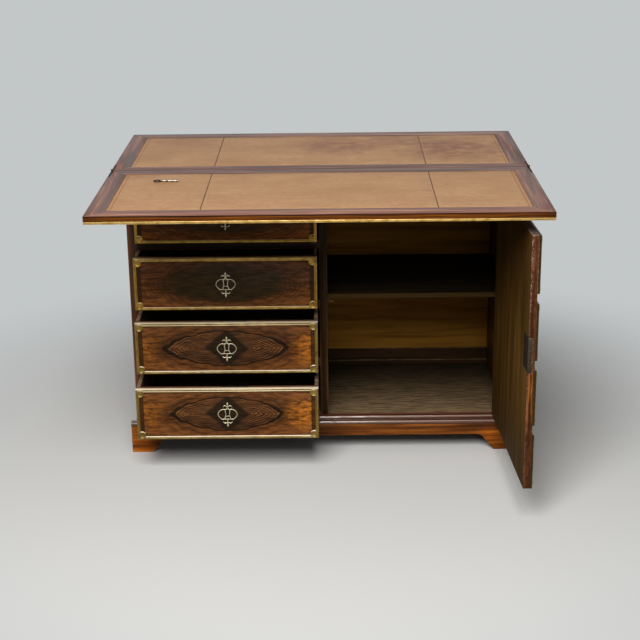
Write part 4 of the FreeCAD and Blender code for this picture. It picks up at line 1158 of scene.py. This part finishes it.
# The shank's underside is painted black as shade.
painted(shank, old_iron("shank_steel", "aca294", "8c8072", gloss=0.3, shade_way=(0, -0.8, -0.6)))
key_iron = old_iron("key_iron", "4a4034", "2c2014")
for forged in (bow, bit):
    painted(forged, key_iron)
key = joined("key", [shank, bow, bit])
leather_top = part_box("front_leather")[1].z
laid_down = Matrix.Translation((*KEY_PLACE, leather_top + COLLAR_RADIUS))
key.data.transform(laid_down @ Matrix.Rotation(KEY_TURN, 4, "Z"))
bpy.ops.object.shade_smooth_by_angle(angle=SMOOTH_BRASS)
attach(key, "leaf")

# Floor, light and camera: a plain pale floor that fades into an even backdrop, one broad soft lamp above
# and in front, a weak fill, and the camera that was fitted to the photograph.
FLOOR_SIZE = 40.0
FLOOR_ROUGH = 0.9
FADE_START = 0.6
FADE_END = 1.6
BACKDROP = colour("c3c7c8")
FLOOR_PALE = colour("d6d5d2")
FLOOR_BOUNCE = colour("7d7168")
AMBIENT = 0.10
bpy.ops.object.select_all(action="DESELECT")
bpy.ops.mesh.primitive_plane_add(size=FLOOR_SIZE)
floor = bpy.context.object
floor.name = "studio_floor"


def shown(tree):
    """One where the camera sees a surface, straight or in a gloss or through glass."""
    rays = put(tree, "LightPath").outputs
    glass = calc(tree, "MAXIMUM", rays["Is Glossy Ray"], rays["Is Transmission Ray"])
    return calc(tree, "MAXIMUM", rays["Is Camera Ray"], glass)


floor_paint, tree, shader, place, _ = new_finish("floor_paint")
seen = shown(tree)
feed(tree, shader, {"Base Color": mixed(tree, seen, FLOOR_BOUNCE, FLOOR_PALE), "Roughness": FLOOR_ROUGH,
                    "Specular IOR Level": 0.0})
faded = times(tree, level(tree, vector(tree, "LENGTH", place), FADE_START, FADE_END), seen)
backdrop = put(tree, "Emission", {"Color": BACKDROP}).outputs[0]
blended = put(tree, "MixShader", {0: faded, 1: shader.outputs[0], 2: backdrop}).outputs[0]
feed(tree, tree.nodes["Material Output"], {"Surface": blended})
painted(floor, floor_paint)

world = bpy.data.worlds.new("studio")
bpy.context.scene.world = world
world.use_nodes = True
sky = world.node_tree
feed(sky, sky.nodes["Background"], {
    "Color": BACKDROP, "Strength": level(sky, shown(sky), 0.0, 1.0, AMBIENT, 1.0)})


def lamp(name, place, aim, size, power):
    bpy.ops.object.light_add(type="AREA", location=place)
    made = bpy.context.object
    made.name = name
    made.data.size = size
    made.data.energy = power
    made.rotation_euler = (Vector(aim) - Vector(place)).to_track_quat("-Z", "Y").to_euler()


lamp("key_lamp", place=(-0.5, -3.2, 3.4), aim=(0, -0.1, 0.4), size=2.5, power=250)
lamp("fill_lamp", place=(0.8, -3.6, 1.2), aim=(0, 0, 0.3), size=2.0, power=12)

PHOTO_PIXELS = 640
FOCAL_PIXELS = 1424.75
SENSOR = 36.0
CAMERA_PLACE = (0.02462, -3.25192, 1.47335)
CAMERA_PITCH = 0.33281
CAMERA_YAW = -0.00902
CAMERA_ROLL = -0.0124
bpy.ops.object.camera_add()
camera = bpy.context.object
camera.data.sensor_width = SENSOR
camera.data.lens = FOCAL_PIXELS / PHOTO_PIXELS * SENSOR
aimed = Matrix.Rotation(-CAMERA_YAW, 4, "Z") @ Matrix.Rotation(math.pi / 2 - CAMERA_PITCH, 4, "X")
camera.matrix_world = Matrix.Translation(CAMERA_PLACE) @ aimed @ Matrix.Rotation(CAMERA_ROLL, 4, "Z")
bpy.context.scene.camera = camera
bpy.context.scene.view_settings.view_transform = "Standard"
